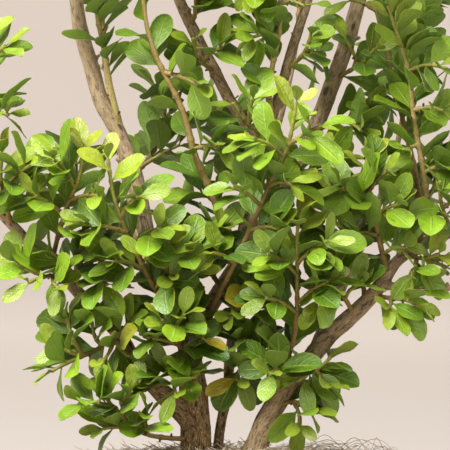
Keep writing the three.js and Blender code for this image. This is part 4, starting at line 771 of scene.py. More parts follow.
class Tree:
    """Adds nodes to a node tree."""

    def __init__(self, tree):
        self.tree = tree

    def feed(self, socket, value):
        """Links a socket to a value's socket, or sets it to a plain value."""
        if isinstance(value, bpy.types.NodeSocket):
            self.tree.links.new(value, socket)
        elif socket.type == "RGBA":
            socket.default_value = (*value, 1)
        else:
            socket.default_value = value

    def node(self, kind, inputs=(), **settings):
        """The outputs of a node with its settings, and its inputs linked or set."""
        node = self.tree.nodes.new(kind)
        for name, value in settings.items():
            setattr(node, name, value)
        for key, value in dict(inputs).items():
            self.feed(node.inputs[key], value)
        return node.outputs

    def shader(self, kind, inputs=(), output=0, **settings):
        return self.node(f"ShaderNode{kind}", inputs, **settings)[output]

    def shape(self, kind, inputs=(), output=0, **settings):
        return self.node(f"GeometryNode{kind}", inputs, **settings)[output]

    def sum(self, operation, *values, kind="Math"):
        """The result of a sum on numbers or sockets."""
        return self.shader(kind, enumerate(values), operation=operation)

    def vector_sum(self, operation, *values):
        return self.sum(operation, *values, kind="VectorMath")

    def scaled(self, vector, amount):
        """A vector times a number."""
        return self.shader("VectorMath", {0: vector, "Scale": amount}, operation="SCALE")

    def times(self, product, *values):
        for value in values:
            product = self.sum("MULTIPLY", product, value)
        return product

    def line(self, value, slope, start):
        """The value times the slope, plus the start."""
        return self.sum("MULTIPLY_ADD", value, slope, start)

    def range(self, value, low, high, **settings):
        """The value moved from this range to 0 to 1."""
        return self.shader("MapRange", {"Value": value, "From Min": low, "From Max": high}, **settings)

    def split(self, vector):
        return self.node("ShaderNodeSeparateXYZ", {0: vector})


class GeometryTree(Tree):
    """A geometry node tree with these named inputs, each with its kind of socket."""

    def __init__(self, name, **sockets):
        super().__init__(bpy.data.node_groups.new(name, "GeometryNodeTree"))
        new_socket = self.tree.interface.new_socket
        new_socket(name="Geometry", in_out="OUTPUT", socket_type="NodeSocketGeometry")
        for label, kind in {"Geometry": "Geometry", **sockets}.items():
            label = label.replace("_", " ")
            new_socket(name=label, in_out="INPUT", socket_type=f"NodeSocket{kind}")
        self.given = self.tree.nodes.new("NodeGroupInput").outputs

    def named(self, name):
        return self.shape("InputNamedAttribute", {"Name": name}, data_type="FLOAT_VECTOR")

    def of_object(self, label):
        """The geometry of the object that is given under this label."""
        return self.shape("ObjectInfo", {"Object": self.given[label]}, "Geometry")

    def marked(self, geometry, name, value):
        """The geometry with a number stored at its points."""
        inputs = {"Geometry": geometry, "Name": name, "Value": value}
        return self.shape("StoreNamedAttribute", inputs, data_type="FLOAT", domain="POINT")

    def chance(self, inputs, output=1, kind="FLOAT"):
        return self.node("FunctionNodeRandomValue", inputs, data_type=kind)[output]

    def loose(self, geometry):
        return self.shape("RealizeInstances", {0: geometry})

    def tube(self, curve, sides):
        """A round tube along the curve, as thick as the curve's radius says."""
        ring = self.shape("CurvePrimitiveCircle", {"Resolution": sides, "Radius": 1.0})
        radius = self.shape("InputRadius")
        inputs = {"Curve": curve, "Profile Curve": ring, "Scale": radius, "Fill Caps": True}
        return self.shape("CurveToMesh", inputs)

    def joined(self, *parts):
        both = self.tree.nodes.new("GeometryNodeJoinGeometry")
        for part in parts:
            self.tree.links.new(part, both.inputs[0])
        return both.outputs[0]

    def covered(self, geometry, material):
        return self.shape("SetMaterial", {"Geometry": geometry, "Material": self.given[material]})

    def smoothed(self, geometry, material):
        """The geometry smooth, with its material."""
        return self.covered(self.shape("SetShadeSmooth", {"Geometry": geometry}), material)

    def ended(self, geometry):
        self.node("NodeGroupOutput", {0: geometry})
        return self.tree


def spray_tree():
    """Leaves bent into shape at their places, with their stems."""
    tree = GeometryTree(
        "Leafy spray", Stems="Object", Blade="Object", Blade_thickness="Float", Edge_wave="Float",
        Stem_sides="Int", Stem_tone="Float", Leaf_finish="Material", Stem_finish="Material")
    given, times = tree.given, tree.times
    leaves = tree.shape(
        "InstanceOnPoints", {"Points": given["Geometry"], "Instance": tree.of_object("Blade")})
    loose = tree.loose(leaves)
    u, w, side = tree.split(tree.named("blade"))
    way, face = tree.named("way"), tree.named("face")
    across = tree.vector_sum("CROSS_PRODUCT", face, way)
    length, half, phase = tree.split(tree.named("size"))
    fold, droop, twist = tree.split(tree.named("bend"))
    spread = tree.sum("ABSOLUTE", w)
    out = times(w, half)
    rise = times(spread, half, fold, tree.line(spread, -0.5, 1.6))
    sag = times(droop, length, times(u, u))
    ripple = times(tree.sum("SINE", tree.line(u, 8.0, phase)), spread, given["Edge wave"])
    skin = times(side, given["Blade thickness"], 0.5)
    lift = tree.sum("ADD", tree.sum("SUBTRACT", rise, sag), tree.sum("ADD", ripple, skin))
    lift = tree.sum("ADD", lift, times(out, u, twist))
    place = tree.named("foot")
    for direction, amount in ((way, times(length, u)), (across, out), (face, lift)):
        place = tree.vector_sum("ADD", place, tree.scaled(direction, amount))
    shaped = tree.shape("SetPosition", {"Geometry": loose, "Position": place})
    leaves = tree.smoothed(shaped, "Leaf finish")

    stems = tree.of_object("Stems")
    radius = tree.shape("InputRadius")
    woody, nub = tree.range(radius, 0.0008, 0.0014), tree.range(radius, 0.00065, 0.0006)
    for name, value in (("woody", woody), ("tone", given["Stem tone"]), ("nub", nub)):
        stems = tree.marked(stems, name, value)
    stems = tree.smoothed(tree.tube(stems, given["Stem sides"]), "Stem finish")
    return tree.ended(tree.joined(stems, leaves))


def limb_tree():
    """Tubes along the limbs, with the root crown."""
    tree = GeometryTree("Limbs", Limb_sides="Int", Root_crown="Object", Bark="Material")
    tubes = tree.tube(tree.given["Geometry"], tree.given["Limb sides"])
    both = tree.joined(tree.of_object("Root crown"), tubes)
    return tree.ended(tree.covered(tree.loose(both), "Bark"))


def fibre_tree():
    """Dry fibres that lie tangled on a surface."""
    tree = GeometryTree(
        "Fibres", Density="Float", Length="Float", Radius="Float", Lift="Float", Seed="Int",
        Wisps="Object", Finish="Material")
    given, rings = tree.given, 8
    scatter = tree.shape("DistributePointsOnFaces", {
        "Mesh": given["Geometry"], "Density": given["Density"], "Seed": given["Seed"]})
    strand = tree.shape("CurvePrimitiveLine", {"End": (1.0, 0.0, 0.0)})
    strand = tree.shape("ResampleCurve", {"Curve": strand, "Count": rings})
    turns = {"Min": (-0.5, -0.5, 0.0), "Max": (0.3, 0.3, FULL_TURN), "Seed": given["Seed"]}
    scale = tree.times(tree.chance({2: 0.45, 3: 1.3, "Seed": 3}), given["Length"])
    strands = tree.shape("InstanceOnPoints", {
        "Points": scatter, "Instance": strand, "Rotation": tree.chance(turns, 0, "FLOAT_VECTOR"),
        "Scale": scale})
    number = tree.sum("FLOOR", tree.sum("DIVIDE", tree.shape("InputIndex"), float(rings)))
    inputs = {"Vector": tree.shape("InputPosition"), "W": number, "Scale": 130.0, "Detail": 1.0}
    curl = tree.shader("TexNoise", inputs, "Color", noise_dimensions="4D")
    curl = tree.scaled(tree.vector_sum("SUBTRACT", curl, (0.5, 0.5, 0.42)), given["Lift"])
    curled = tree.shape("SetPosition", {"Geometry": tree.loose(strands), "Offset": curl})
    curled = tree.marked(curled, "pale", tree.chance({"ID": number, "Seed": 7}))
    thin = tree.shape("SetCurveRadius", {"Curve": curled, "Radius": given["Radius"]})
    wisps = tree.marked(tree.of_object("Wisps"), "pale", 0.9)
    return tree.ended(tree.smoothed(tree.tube(tree.joined(wisps, thin), 3), "Finish"))


def placed_in_scene(name, data):
    obj = bpy.data.objects.new(name, data)
    bpy.context.scene.collection.objects.link(obj)
    return obj


def plain_piece(obj, name):
    """The object with its modifiers worked out, as a plain mesh."""
    graph = bpy.context.evaluated_depsgraph_get()
    mesh = bpy.data.meshes.new_from_object(
        obj.evaluated_get(graph), preserve_all_data_layers=True, depsgraph=graph)
    mesh.name = name
    bpy.data.objects.remove(obj)
    return placed_in_scene(name, mesh)


def grown_piece(obj, name, tree, values):
    """The plain mesh that a geometry node tree makes of an object, with these values for its inputs."""
    modifier = obj.modifiers.new(tree.name, "NODES")
    modifier.node_group = tree
    for item in tree.interface.items_tree:
        if item.name in values:
            modifier[item.identifier] = values[item.name]
    return plain_piece(obj, name)


def fit_to_frame(piece, slot, *nodes):
    """The piece rides on the part's one body and stands for these nodes, which are hidden. The slot is not
    used.
    """
    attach(piece, "root")
    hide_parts(*nodes)


def mesh_of(name, corners, faces):
    mesh = bpy.data.meshes.new(name)
    mesh.from_pydata([tuple(corner) for corner in corners], [], faces)
    mesh.validate()
    return mesh


def mesh_piece(mesh, slot, material, node, angle=None):
    """Puts a finished mesh in the scene under its own name, smooth apart from edges past the angle."""
    mesh.shade_smooth()
    if angle:
        mesh.set_sharp_from_angle(angle=math.radians(angle))
    mesh.materials.append(material)
    fit_to_frame(placed_in_scene(mesh.name, mesh), slot, node)


@contextmanager
def edited(mesh, source=None):
    """An editable copy of the mesh, or of the source, that is written to the mesh at the end."""
    bm = bmesh.new()
    bm.from_mesh(source or mesh)
    yield bm
    bm.to_mesh(mesh)
    bm.free()


def store(mesh, name, kind, values):
    """Writes values at a mesh's corners as a named attribute."""
    attribute = mesh.attributes.new(name, kind, "POINT")
    field = "vector" if kind == "FLOAT_VECTOR" else "value"
    attribute.data.foreach_set(field, np.asarray(values, np.float32).ravel())


def curve_of(name, routes):
    """A curve with a spline for each list of places and radii."""
    curve = bpy.data.curves.new(name, "CURVE")
    curve.dimensions = "3D"
    for places, radii in routes:
        spline = curve.splines.new("POLY")
        spline.points.add(len(places) - 1)
        spline.points.foreach_set("co", np.column_stack([places, np.ones(len(places))]).ravel())
        spline.points.foreach_set("radius", np.asarray(radii, float))
    return placed_in_scene(name, curve)


# Finishes


class Finish(Tree):
    """A new material, made of layers of colour."""

    def __init__(self, name):
        self.material = bpy.data.materials.new(name)
        self.material.use_nodes = True
        super().__init__(self.material.node_tree)
        self.places = self.shader("TexCoord", output="Object")

    def done(self, color, roughness, *heights, specular=None):
        """The material, once its shader has its colour, its roughness and its bumps.

        A bump is a height, and how far the surface stands out where that is 1.
        """
        shader = self.tree.nodes["Principled BSDF"]
        self.feed(shader.inputs["Base Color"], color)
        self.feed(shader.inputs["Roughness"], roughness)
        if specular is not None:
            shader.inputs["Specular IOR Level"].default_value = specular
        normal = {}
        for height, depth in heights:
            inputs = {"Height": height, "Distance": depth, "Strength": 1.0, **normal}
            normal = {"Normal": self.shader("Bump", inputs)}
        if normal:
            self.feed(shader.inputs["Normal"], normal["Normal"])
        return self.material

    def layers(self, color, *coats):
        """The colour under coats of others, each with the share that it covers."""
        for share, coat in coats:
            color = self.blend(share, color, coat)
        return color

    def blend(self, share, first, second, mode="MIX"):
        inputs = {0: share, 6: first, 7: second}
        return self.shader("Mix", inputs, 2, data_type="RGBA", blend_type=mode)

    def mottled(self, color, share, low, high):
        """The colour times one between the low and the high one."""
        return self.blend(1.0, color, self.blend(share, low, high), "MULTIPLY")

    def between(self, value, low, high, share=None):
        """How far the value is from the low one to the high one, smoothly, times the share."""
        way = self.range(value, low, high, interpolation_type="SMOOTHSTEP")
        return way if share is None else self.times(way, share)

    def speckle(self, scale, detail=3.0, roughness=0.55, places=None):
        """Cloudy noise, from 0 to 1."""
        inputs = {"Vector": self.places if places is None else places, "Scale": scale}
        return self.shader("TexNoise", {**inputs, "Detail": detail, "Roughness": roughness})

    def cells(self, scale, places=None):
        """The distance to the nearest of many scattered spots."""
        inputs = {"Vector": self.places if places is None else places, "Scale": scale}
        return self.shader("TexVoronoi", inputs, "Distance")

    def marked(self, name, output="Fac"):
        return self.shader("Attribute", output=output, attribute_name=name)


def leaf_finish(look):
    """Glossy leaf: pale midrib and faint side veins above, dull and paler below, with painted shade inside
    the crown and a painted highlight along the edge.
    """
    tree = Finish("Holly leaf")
    fresh, shade, faded = tree.split(tree.marked("looks", "Vector"))
    side = tree.split(tree.marked("blade", "Vector"))[2]
    u, v, _ = tree.split(tree.shader("UVMap", uv_map="leaf"))
    spread = tree.sum("ABSOLUTE", tree.line(v, 2.0, -1.0))
    cloud, grain = tree.speckle(260.0), tree.speckle(1900.0, 2.0)
    midrib = tree.times(tree.between(spread, 0.11, 0.03), tree.line(tree.between(u, 0.97, 0.55), 0.75, 0.25))
    slant = tree.sum("SUBTRACT", tree.times(u, 8.5), tree.times(spread, 2.4))
    vein = tree.sum("ABSOLUTE", tree.sum("SUBTRACT", tree.sum("FRACT", slant), 0.5))
    vein = tree.between(vein, 0.13, 0.0)
    under = tree.between(side, -0.1, -0.7)
    # The shade share blends from the shaded green to the grown green: painted shade inside the crown, painted
    # light at its outside, and some random tone
    color = tree.layers(look.deep, (shade, look.grown), (fresh, look.fresh), (faded, look.faded))
    color = tree.mottled(color, cloud, (0.66, 0.71, 0.62), (1.28, 1.24, 1.22))
    # The layer that lightens the blade's outer edge towards the fresh green is a painted highlight, as where
    # a glossy edge catches the light
    color = tree.layers(
        color, (tree.between(grain, 0.54, 0.72, 0.28), look.midrib), (tree.times(vein, 0.18), look.midrib),
        (tree.times(midrib, 0.45), look.midrib), (tree.between(spread, 0.86, 1.0, 0.5), look.fresh),
        (tree.times(under, 0.65), look.underside), (tree.between(u, 0.07, 0.02), look.bud))
    height = tree.sum("SUBTRACT", tree.times(vein, -0.35), midrib)
    return tree.done(
        color, tree.line(under, 0.3, tree.line(cloud, 0.16, 0.36)),
        (height, 0.0003), (cloud, 0.0008), (grain, 0.00005), specular=0.56)


def stem_finish(look):
    """Stem: green and smooth at its young end, brown and flecked at its woody foot."""
    tree = Finish("Holly stem")
    cloud, fleck = tree.speckle(420.0), tree.speckle(1300.0, 3.0, 0.7)
    old = tree.blend(tree.marked("tone"), look.stem_old, look.stem_tan)
    share = tree.sum("ADD", tree.marked("woody"), tree.line(cloud, 0.5, -0.25))
    share = tree.between(share, 0.1, 0.8)
    dark = tuple(0.35 * value for value in look.stem_old)
    color = tree.layers(look.stem_young, (share, old), (tree.between(fleck, 0.53, 0.63, 0.75), dark))
    color = tree.mottled(color, cloud, (0.75, 0.75, 0.75), (1.2, 1.2, 1.2))
    color = tree.blend(tree.marked("nub"), color, look.bud)
    return tree.done(color, tree.line(share, 0.25, 0.45), (fleck, 0.00012))


def bark_finish(look):
    """Bark: fine cracks that run along the limb, pale plates between them, and small raised spots."""
    tree = Finish("Holly bark")
    along, tone = tree.marked("grain", "Vector"), tree.marked("tone")
    streak, fine = tree.speckle(560.0, 4.0, 0.65, along), tree.speckle(1500.0, 4.0, 0.7, along)
    spots = tree.between(tree.cells(330.0), 0.22, 0.12)
    knots = tree.between(tree.cells(150.0, along), 0.2, 0.1)
    rough = tree.line(tone, -0.38, 0.85)
    color = tree.blend(tone, look.brown, look.grey)
    color = tree.mottled(color, tree.speckle(70.0, 2.0), (0.7, 0.68, 0.66), (1.25, 1.25, 1.22))
    color = tree.layers(
        color, (tree.between(streak, 0.51, 0.38, rough), look.crack),
        (tree.between(fine, 0.49, 0.35, tree.times(rough, 0.75)), look.crack),
        (tree.between(fine, 0.5, 0.64, 0.6), look.grey), (tree.times(spots, 0.3), look.grey),
        (tree.times(knots, 0.8), look.crack))
    return tree.done(color, 0.82, (streak, 0.0007), (tree.sum("ADD", fine, spots), 0.0002))


def fibre_finish(look):
    """Dry fibre, from straw to brown."""
    tree = Finish("Dry fibre")
    share = tree.line(tree.speckle(150.0), 0.5, tree.times(tree.marked("pale"), 0.6))
    return tree.done(tree.blend(share, look.moss_dark, look.moss_pale), 0.85)


def mat_finish(look):
    """The matted ground under the fibres."""
    tree = Finish("Moss mat")
    cloud, tangle = tree.speckle(90.0, 5.0), tree.speckle(900.0, 4.0, 0.7)
    color = tree.layers(
        look.moss_dark, (tree.between(tangle, 0.35, 0.65), look.moss_pale),
        (tree.times(cloud, 0.5), look.moss_dark))
    return tree.done(color, 0.95, (tangle, 0.0012))


def soil_finish(look):
    """Damp soil with grit in it."""
    tree = Finish("Potting soil")
    crumbs = tree.speckle(420.0, 5.0, 0.7)
    color = tree.blend(tree.between(tree.cells(260.0), 0.24, 0.14), look.soil_dark, look.soil_pale)
    color = tree.mottled(color, crumbs, (0.55, 0.55, 0.55), (1.4, 1.35, 1.3))
    return tree.done(color, 0.95, (crumbs, 0.0014))


def clay_finish(look):
    """Unglazed stoneware: fire-darkened patches, iron specks and faint rings from the wheel."""
    tree = Finish("Unglazed stoneware")
    cloud, sand = tree.speckle(22.0, 5.0, 0.6), tree.speckle(1500.0, 3.0)
    height = tree.split(tree.places)[2]
    rings = tree.sum("SINE", tree.line(height, 2900.0, tree.times(cloud, 5.0)))
    color = tree.blend(tree.between(cloud, 0.35, 0.7), look.clay_dark, look.clay)
    color = tree.mottled(color, sand, (0.8, 0.8, 0.8), (1.18, 1.16, 1.14))
    color = tree.blend(tree.between(tree.cells(420.0), 0.16, 0.08, 0.55), color, (0.02, 0.014, 0.01))
    roughness = tree.line(tree.between(cloud, 0.3, 0.7), -0.14, 0.82)
    return tree.done(color, roughness, (rings, 0.00012), (sand, 0.00025))


def mesh_finish(look):
    """Matt plastic with a fine grain."""
    tree = Finish("Drain mesh plastic")
    grain = tree.speckle(1800.0)
    color = tree.blend(grain, tuple(0.75 * value for value in look.mesh_color), look.mesh_color)
    return tree.done(color, 0.55, (grain, 0.00004))


def stage_finish(look):
    """The plain pale floor and wall: painted shade near the middle under the lights and painted light far
    off, so that both look alike.
    """
    tree = Finish("Plain backdrop")
    away = tree.vector_sum("MULTIPLY", tree.places, (1.0, 1.0, 0.0))
    away = tree.shader("VectorMath", {0: away}, "Value", operation="LENGTH")
    near, far = (tuple(share * value for value in look.backdrop) for share in (0.53, 1.14))
    # Painted shade on the floor near the lights, rising to painted light on the far floor and wall
    color = tree.blend(tree.between(away, 0.1, 3.2), near, far)
    color = tree.mottled(color, tree.speckle(1.2, 2.0), (0.98, 0.98, 0.98), (1.02, 1.02, 1.02))
    return tree.done(color, 0.95, specular=0.1)


# Foliage


def leaf_blade():
    """A closed leaf blade to be bent into shape: each corner carries its u, its w and its side."""
    corners, marks, coordinates = [], [], []
    rows, columns = len(LEAF_ROWS), len(LEAF_COLUMNS)
    for side in (1, -1):
        for u, half, thick in LEAF_ROWS:
            for column in LEAF_COLUMNS:
                w = half * column
                edge = 0.35 if abs(column) == 1 else 1.0
                corners.append((u, w, 0.1 * side))
                marks.append((u, w, side * thick * edge))
                coordinates.append((u, 0.5 + 0.5 * column))

    def corner(row, column, below=0):
        return (below * rows + row) * columns + column

    faces = []
    for row in range(rows - 1):
        for column in range(columns - 1):
            places = [(row, column), (row + 1, column), (row + 1, column + 1), (row, column + 1)]
            faces.append([corner(*place) for place in places[::-1]])
            faces.append([corner(*place, 1) for place in places])
    ring = [(0, column) for column in range(columns)] + [(row, columns - 1) for row in range(1, rows)]
    ring += [(rows - 1, column) for column in range(columns - 2, -1, -1)]
    ring += [(row, 0) for row in range(rows - 2, 0, -1)]
    rim = set()
    for first, second in zip(ring, ring[1:] + ring[:1]):
        faces.append([corner(*first), corner(*second), corner(*second, 1), corner(*first, 1)])
        rim |= {frozenset((corner(*first, below), corner(*second, below))) for below in (0, 1)}
    mesh = mesh_of("Leaf blade", corners, faces)
    store(mesh, "blade", "FLOAT_VECTOR", marks)
    sharp = [frozenset(edge.vertices) in rim for edge in mesh.edges]
    mesh.attributes.new("sharp_edge", "BOOLEAN", "EDGE").data.foreach_set("value", sharp)
    layer = mesh.uv_layers.new(name="leaf")
    for loop in mesh.loops:
        layer.data[loop.index].uv = coordinates[loop.vertex_index]
    return placed_in_scene("Leaf blade", mesh)


def leaf_looks(leaf, lime, faded):
    """How fresh a leaf is, how much painted light it has against painted shade, and how faded it is. lime
    says whether its spray ends in a lime rosette.
    """
    if lime and leaf.stem.key % SPRAY_KEYS == 0:
        young = max(0, 1 - leaf.number / 5.5)
    else:
        young = 0.4 * max(0, 1 - leaf.number / 3)
    # Painted shade: leaves further back and nearer the crown's middle get a darker colour, as if shaded by
    # the crown; the drawn part is the leaf's own random tone
    x, y, z = leaf.foot
    outer = held((0.06 - y) / 0.12)
    aside = min(1, math.hypot((x - 0.005) / 0.1, (z - 0.08) / 0.12))
    bright = 0.4 * outer + 0.5 * aside - 0.16 + leaf.drawn(-0.3, 0.5, 12)
    return min(1, young + leaf.drawn(0, 0.12, 11)), held(bright), faded


def nub_routes(stems, leaves):
    """Dark nubs where leaves have fallen. They are thinner than any stem, which tells the two apart."""
    standing = {(leaf.stem.key, leaf.number) for leaf in leaves}
    for stem in stems:
        for number in range(2, MOST_LEAVES):
            share = stem.share(number)
            if share < 0.1:
                break
            if (stem.key, number) not in standing:
                along = stem.route.along(share)
                side = round_stem(along, TURN * number + stem.start)
                reach = mix(*stem.radii, share) + mix(0.0005, 0.0017, draw(stem.key, number, 16))
                tip = unit(side + 0.4 * along) * reach
                foot = stem.route.at(share) + UP * GROUND
                yield foot + np.outer((0, 0.6, 1), tip), NUB_RADII


def swollen_route(stem):
    """A stem's places and radii, thicker where a leaf stands or stood."""
    count = max(8, math.ceil(stem.route.length / 0.001))
    radii = np.linspace(*stem.radii, count)
    from_tip = np.linspace(stem.route.length, 0, count)
    for number in range(MOST_LEAVES):
        swell = np.exp(-(((from_tip - stem.distance(number)) / SWELL_LENGTH) ** 2))
        radii = radii * (1 + SWELL * draw(stem.key, number, 15) * swell)
    return stem.route.samples(count) + UP * GROUND, radii


def foliage_piece(name, stems, leaves, tree, blade, finishes, look, faded):
    """One spray: its leaves and stems as a plain mesh that stands for the spray's node."""
    points = mesh_of(f"{name}_points", [leaf.foot for leaf in leaves], [])
    spots = [{
        "foot": leaf.foot + UP * GROUND, "way": leaf.way, "face": leaf.face,
        "size": (leaf.length, leaf.width / 2, leaf.drawn(0, FULL_TURN, 13)),
        "bend": (leaf.fold, leaf.droop, leaf.drawn(-0.35, 0.35, 14)),
        # looks holds freshness, painted light against painted shade, and fading
        "looks": leaf_looks(leaf, name in LIME_TIPS, faded.get(id(leaf), 0)),
    } for leaf in leaves]
    for label in spots[0]:
        store(points, label, "FLOAT_VECTOR", [spot[label] for spot in spots])
    routes = [*map(swollen_route, stems), *nub_routes(stems, leaves)]
    curves = curve_of(f"{name}_stems", routes)
    piece = grown_piece(placed_in_scene(f"{name}_foliage", points), f"{name}_foliage", tree, {
        "Stems": curves, "Blade": blade, "Blade thickness": look.thickness, "Edge wave": look.wave,
        "Stem sides": look.stem_sides, "Stem tone": STEM_TONE.get(name, 0.0),
        "Leaf finish": finishes[0], "Stem finish": finishes[1]})
    bpy.data.objects.remove(curves)
    fit_to_frame(piece, "leaf", name)


def fading(leaves):
    """The leaves nearest to the faded places, each with its share of yellow."""
    shares = {}
    for x, height, share in FADED:
        def away(leaf):
            middle = leaf.place(0.6)
            return math.hypot(middle[0] - x, middle[2] - height) + 0.12 * max(0, middle[1] + 0.03)
        shares[id(min(leaves, key=away))] = share
    return shares


class HOLLY_OT_foliage(bpy.types.Operator):
    """Grow the leaves and their stems"""

    bl_idname = "holly.foliage"
    bl_label = "Grow foliage"

    def execute(self, context):
        look = context.scene.holly_foliage
        sprays = grow_leaves([Limb(name) for name in LIMBS], look.clearance)
        every = [leaf for _, leaves in sprays.values() for leaf in leaves]
        faded = fading(every)
        tree = spray_tree()
        blade = leaf_blade()
        finishes = leaf_finish(look), stem_finish(look)
        for name, (stems, leaves) in sprays.items():
            foliage_piece(name, stems, leaves, tree, blade, finishes, look, faded)
        bpy.data.objects.remove(blade)
        self.report({"INFO"}, f"{len(every)} leaves")
        return {"FINISHED"}


# Wood


def bark_marks(mesh, limbs):
    """Gives each corner of the wood its place along the nearest limb, and that limb's tone."""
    spots = []
    for index, limb in enumerate(limbs):
        for share in np.linspace(0, 1, math.ceil(limb.route.length / 0.0015)):
            spots.append((limb.route.at(share), index, share, limb.route.along(share)))
    finder = finder_of([raised(place) for place, *_ in spots])
    grain, tones, reach = [], [], []
    for vertex in mesh.vertices:
        _, number, distance = finder.find(vertex.co)
        place, index, share, along = spots[number]
        run = share * limbs[index].route.length
        out = np.array(vertex.co - raised(place))
        out -= along * out.dot(along)
        grain.append((*(out[:2] + index * 0.05), run * 0.34 + out[2] * 0.5))
        tones.append(held(mix(*BARK_TONE[limbs[index].name], share)))
        reach.append(min(1.0, distance / 0.005))
    store(mesh, "grain", "FLOAT_VECTOR", grain)
    store(mesh, "tone", "FLOAT", tones)
    return np.array(grain), np.array(reach) * (1 - 0.6 * np.array(tones))


def raise_bark(mesh, grain, reach, relief):
    """Moves the wood's surface in and out: cracks along the limb, and slow swellings."""
    marks = [Vector(mark) for mark in grain]
    lift = np.array([
        noise.fractal(mark * 430, 0.9, 2.1, 3) + 0.8 * noise.noise(mark * 150) for mark in marks])
    normals = [Vector(vertex.normal) for vertex in mesh.vertices]
    for vertex, normal, height in zip(mesh.vertices, normals, lift * relief * reach):
        vertex.co += normal * height
    mesh.update()


def stub_routes(limbs):
    """Short dead twigs that stand on the limbs."""
    for number, limb in enumerate(limbs):
        count = math.ceil(limb.route.length / STUB_SPACING)
        for index in range(count):
            share = mix(0.25, 0.95, (index + draw(701, number, index)) / count)
            along = limb.route.along(share)
            side = round_stem(along, FULL_TURN * draw(702, number, index))
            way = unit(side + 0.5 * along + 0.3 * UP)
            reach = limb.radius(share) + mix(0.001, 0.0045, draw(703, number, index) ** 2)
            places = limb.route.at(share) + UP * GROUND + np.outer((0, 0.5, 1), way * reach)
            yield places, STUB_RADII


class HOLLY_OT_wood(bpy.types.Operator):
    """Model the trunks and limbs in bark"""

    bl_idname = "holly.wood"
    bl_label = "Model wood"

    def execute(self, context):
        look = context.scene.holly_wood
        limbs = [Limb(name) for name in LIMBS]
        routes = []
        for limb in limbs:
            shares = np.linspace(0, 1, math.ceil(limb.route.length / 0.002))
            places = np.array([limb.route.at(share) for share in shares]) + UP * GROUND
            routes.append((places, limb.radius(shares)))
        mesh = bpy.data.meshes.new("Root crown")
        place = Matrix.Translation(raised(ROOT_CROWN)) @ Matrix.Diagonal((*ROOT_CROWN_SIZE, 1))
        with edited(mesh) as ball:
            bmesh.ops.create_uvsphere(ball, u_segments=32, v_segments=20, radius=1, matrix=place)
        crown = placed_in_scene("Root crown", mesh)
        bark = bark_finish(look)
        wood = grown_piece(
            curve_of("Wood routes", [*routes, *stub_routes(limbs)]), "Joined wood", limb_tree(),
            {"Limb sides": look.limb_sides, "Root crown": crown, "Bark": bark})
        join = wood.modifiers.new("Join", "REMESH")
        join.mode = "VOXEL"
        join.voxel_size = look.voxel
        join.use_smooth_shade = True
        wood = plain_piece(wood, "wood_bark")
        bpy.data.objects.remove(crown)
        raise_bark(wood.data, *bark_marks(wood.data, limbs), look.relief)
        wood.data.materials.clear()
        wood.data.materials.append(bark)
        fit_to_frame(wood, "bark", "wood")
        return {"FINISHED"}


# Pot and ground


def turned_form(name, rows, segments):
    """A closed form round the upright axis. A row is its radius, its height and how wide its oval is.

    Rows run from the inside of the underside, out, up and back in. A radius of 0 is a single corner.
    """
    corners, starts = [], []
    for radius, height, share in rows:
        starts.append(len(corners))
        for angle in np.linspace(0, 2 * math.pi, segments if radius else 1, endpoint=False):
            corners.append((radius * math.cos(angle), radius * share * math.sin(angle), height))

    def corner(row, index):
        return starts[row] + (index % segments if rows[row][0] else 0)

    pairs = list(zip(range(len(rows)), range(1, len(rows))))
    if rows[0][0]:
        pairs.append((len(rows) - 1, 0))
    faces = []
    for low, high in pairs:
        for index in range(segments):
            ring = corner(low, index), corner(low, index + 1), corner(high, index + 1), corner(high, index)
            faces.append(tuple(dict.fromkeys(ring)))
    return mesh_of(name, corners, faces)


def rounded(profile, radius, steps=5):
    """The profile with each inner corner turned into a short curve."""
    points = [np.array(point, float) for point in profile]
    curved = [profile[0]]
    for before, corner, after in zip(points, points[1:], points[2:]):
        reach = min(radius, 0.45 * np.linalg.norm(corner - before), 0.45 * np.linalg.norm(after - corner))
        start, end = (corner + unit(other - corner) * reach for other in (before, after))
        for part in np.arange(steps + 1) / steps:
            curved.append(tuple(mix(mix(start, corner, part), mix(corner, end, part), part)))
    return curved + [profile[-1]]


def ground_level(x, y):
    """The height of the ground's top, without small bumps."""
    return GROUND - GROUND_FALL * min(1, math.hypot(x, y / POT_SHARE) / GROUND_RADIUS) ** 2


def ground_form(name, rows, top, segments, rings, depth, bumps):
    """A closed form whose top follows the ground, this far under it, with bumps on it."""
    inner = [(top * ((rings - ring) / rings) ** 0.8, 0.0, POT_SHARE) for ring in range(rings + 1)]
    mesh = turned_form(name, rows + inner, segments)
    first = sum(segments if row[0] else 1 for row in rows)
    for vertex in mesh.vertices[first:]:
        x, y, _ = vertex.co
        vertex.co.z = ground_level(x, y) - depth + bumps(vertex.co)
    mesh.update()
    return mesh


def foot_block(bm, x_side, y_side):
    """One foot of the pot: a rounded block, bevelled where it meets the table."""
    outline = []
    for quarter, (x_way, y_way) in enumerate(((1, 1), (-1, 1), (-1, -1), (1, -1))):
        x, y = (FOOT_LENGTH / 2 - FOOT_ROUND) * x_way, (FOOT_WIDTH / 2 - FOOT_ROUND) * y_way
        for step in range(9):
            angle = (quarter + step / 8) * math.pi / 2
            outline.append((x + FOOT_ROUND * math.cos(angle), y + FOOT_ROUND * math.sin(angle)))
    turn = Matrix.Rotation(-x_side * y_side * FOOT_TURN, 4, "Z")
    place = Matrix.Translation((x_side * FOOT_PLACE[0], y_side * FOOT_PLACE[1], 0)) @ turn
    bevel = (0.9, 0), (0.94, 0.0003), (0.98, 0.0009), (1, 0.0018), (1, FOOT_HEIGHT + 0.0015)
    rings = [
        [bm.verts.new(place @ Vector((x * share, y * share, height))) for x, y in outline]
        for share, height in bevel]
    bm.faces.new(rings[0][::-1])
    bm.faces.new(rings[-1])
    for lower, upper in zip(rings, rings[1:]):
        for index in range(-1, len(outline) - 1):
            bm.faces.new((lower[index], lower[index + 1], upper[index + 1], upper[index]))


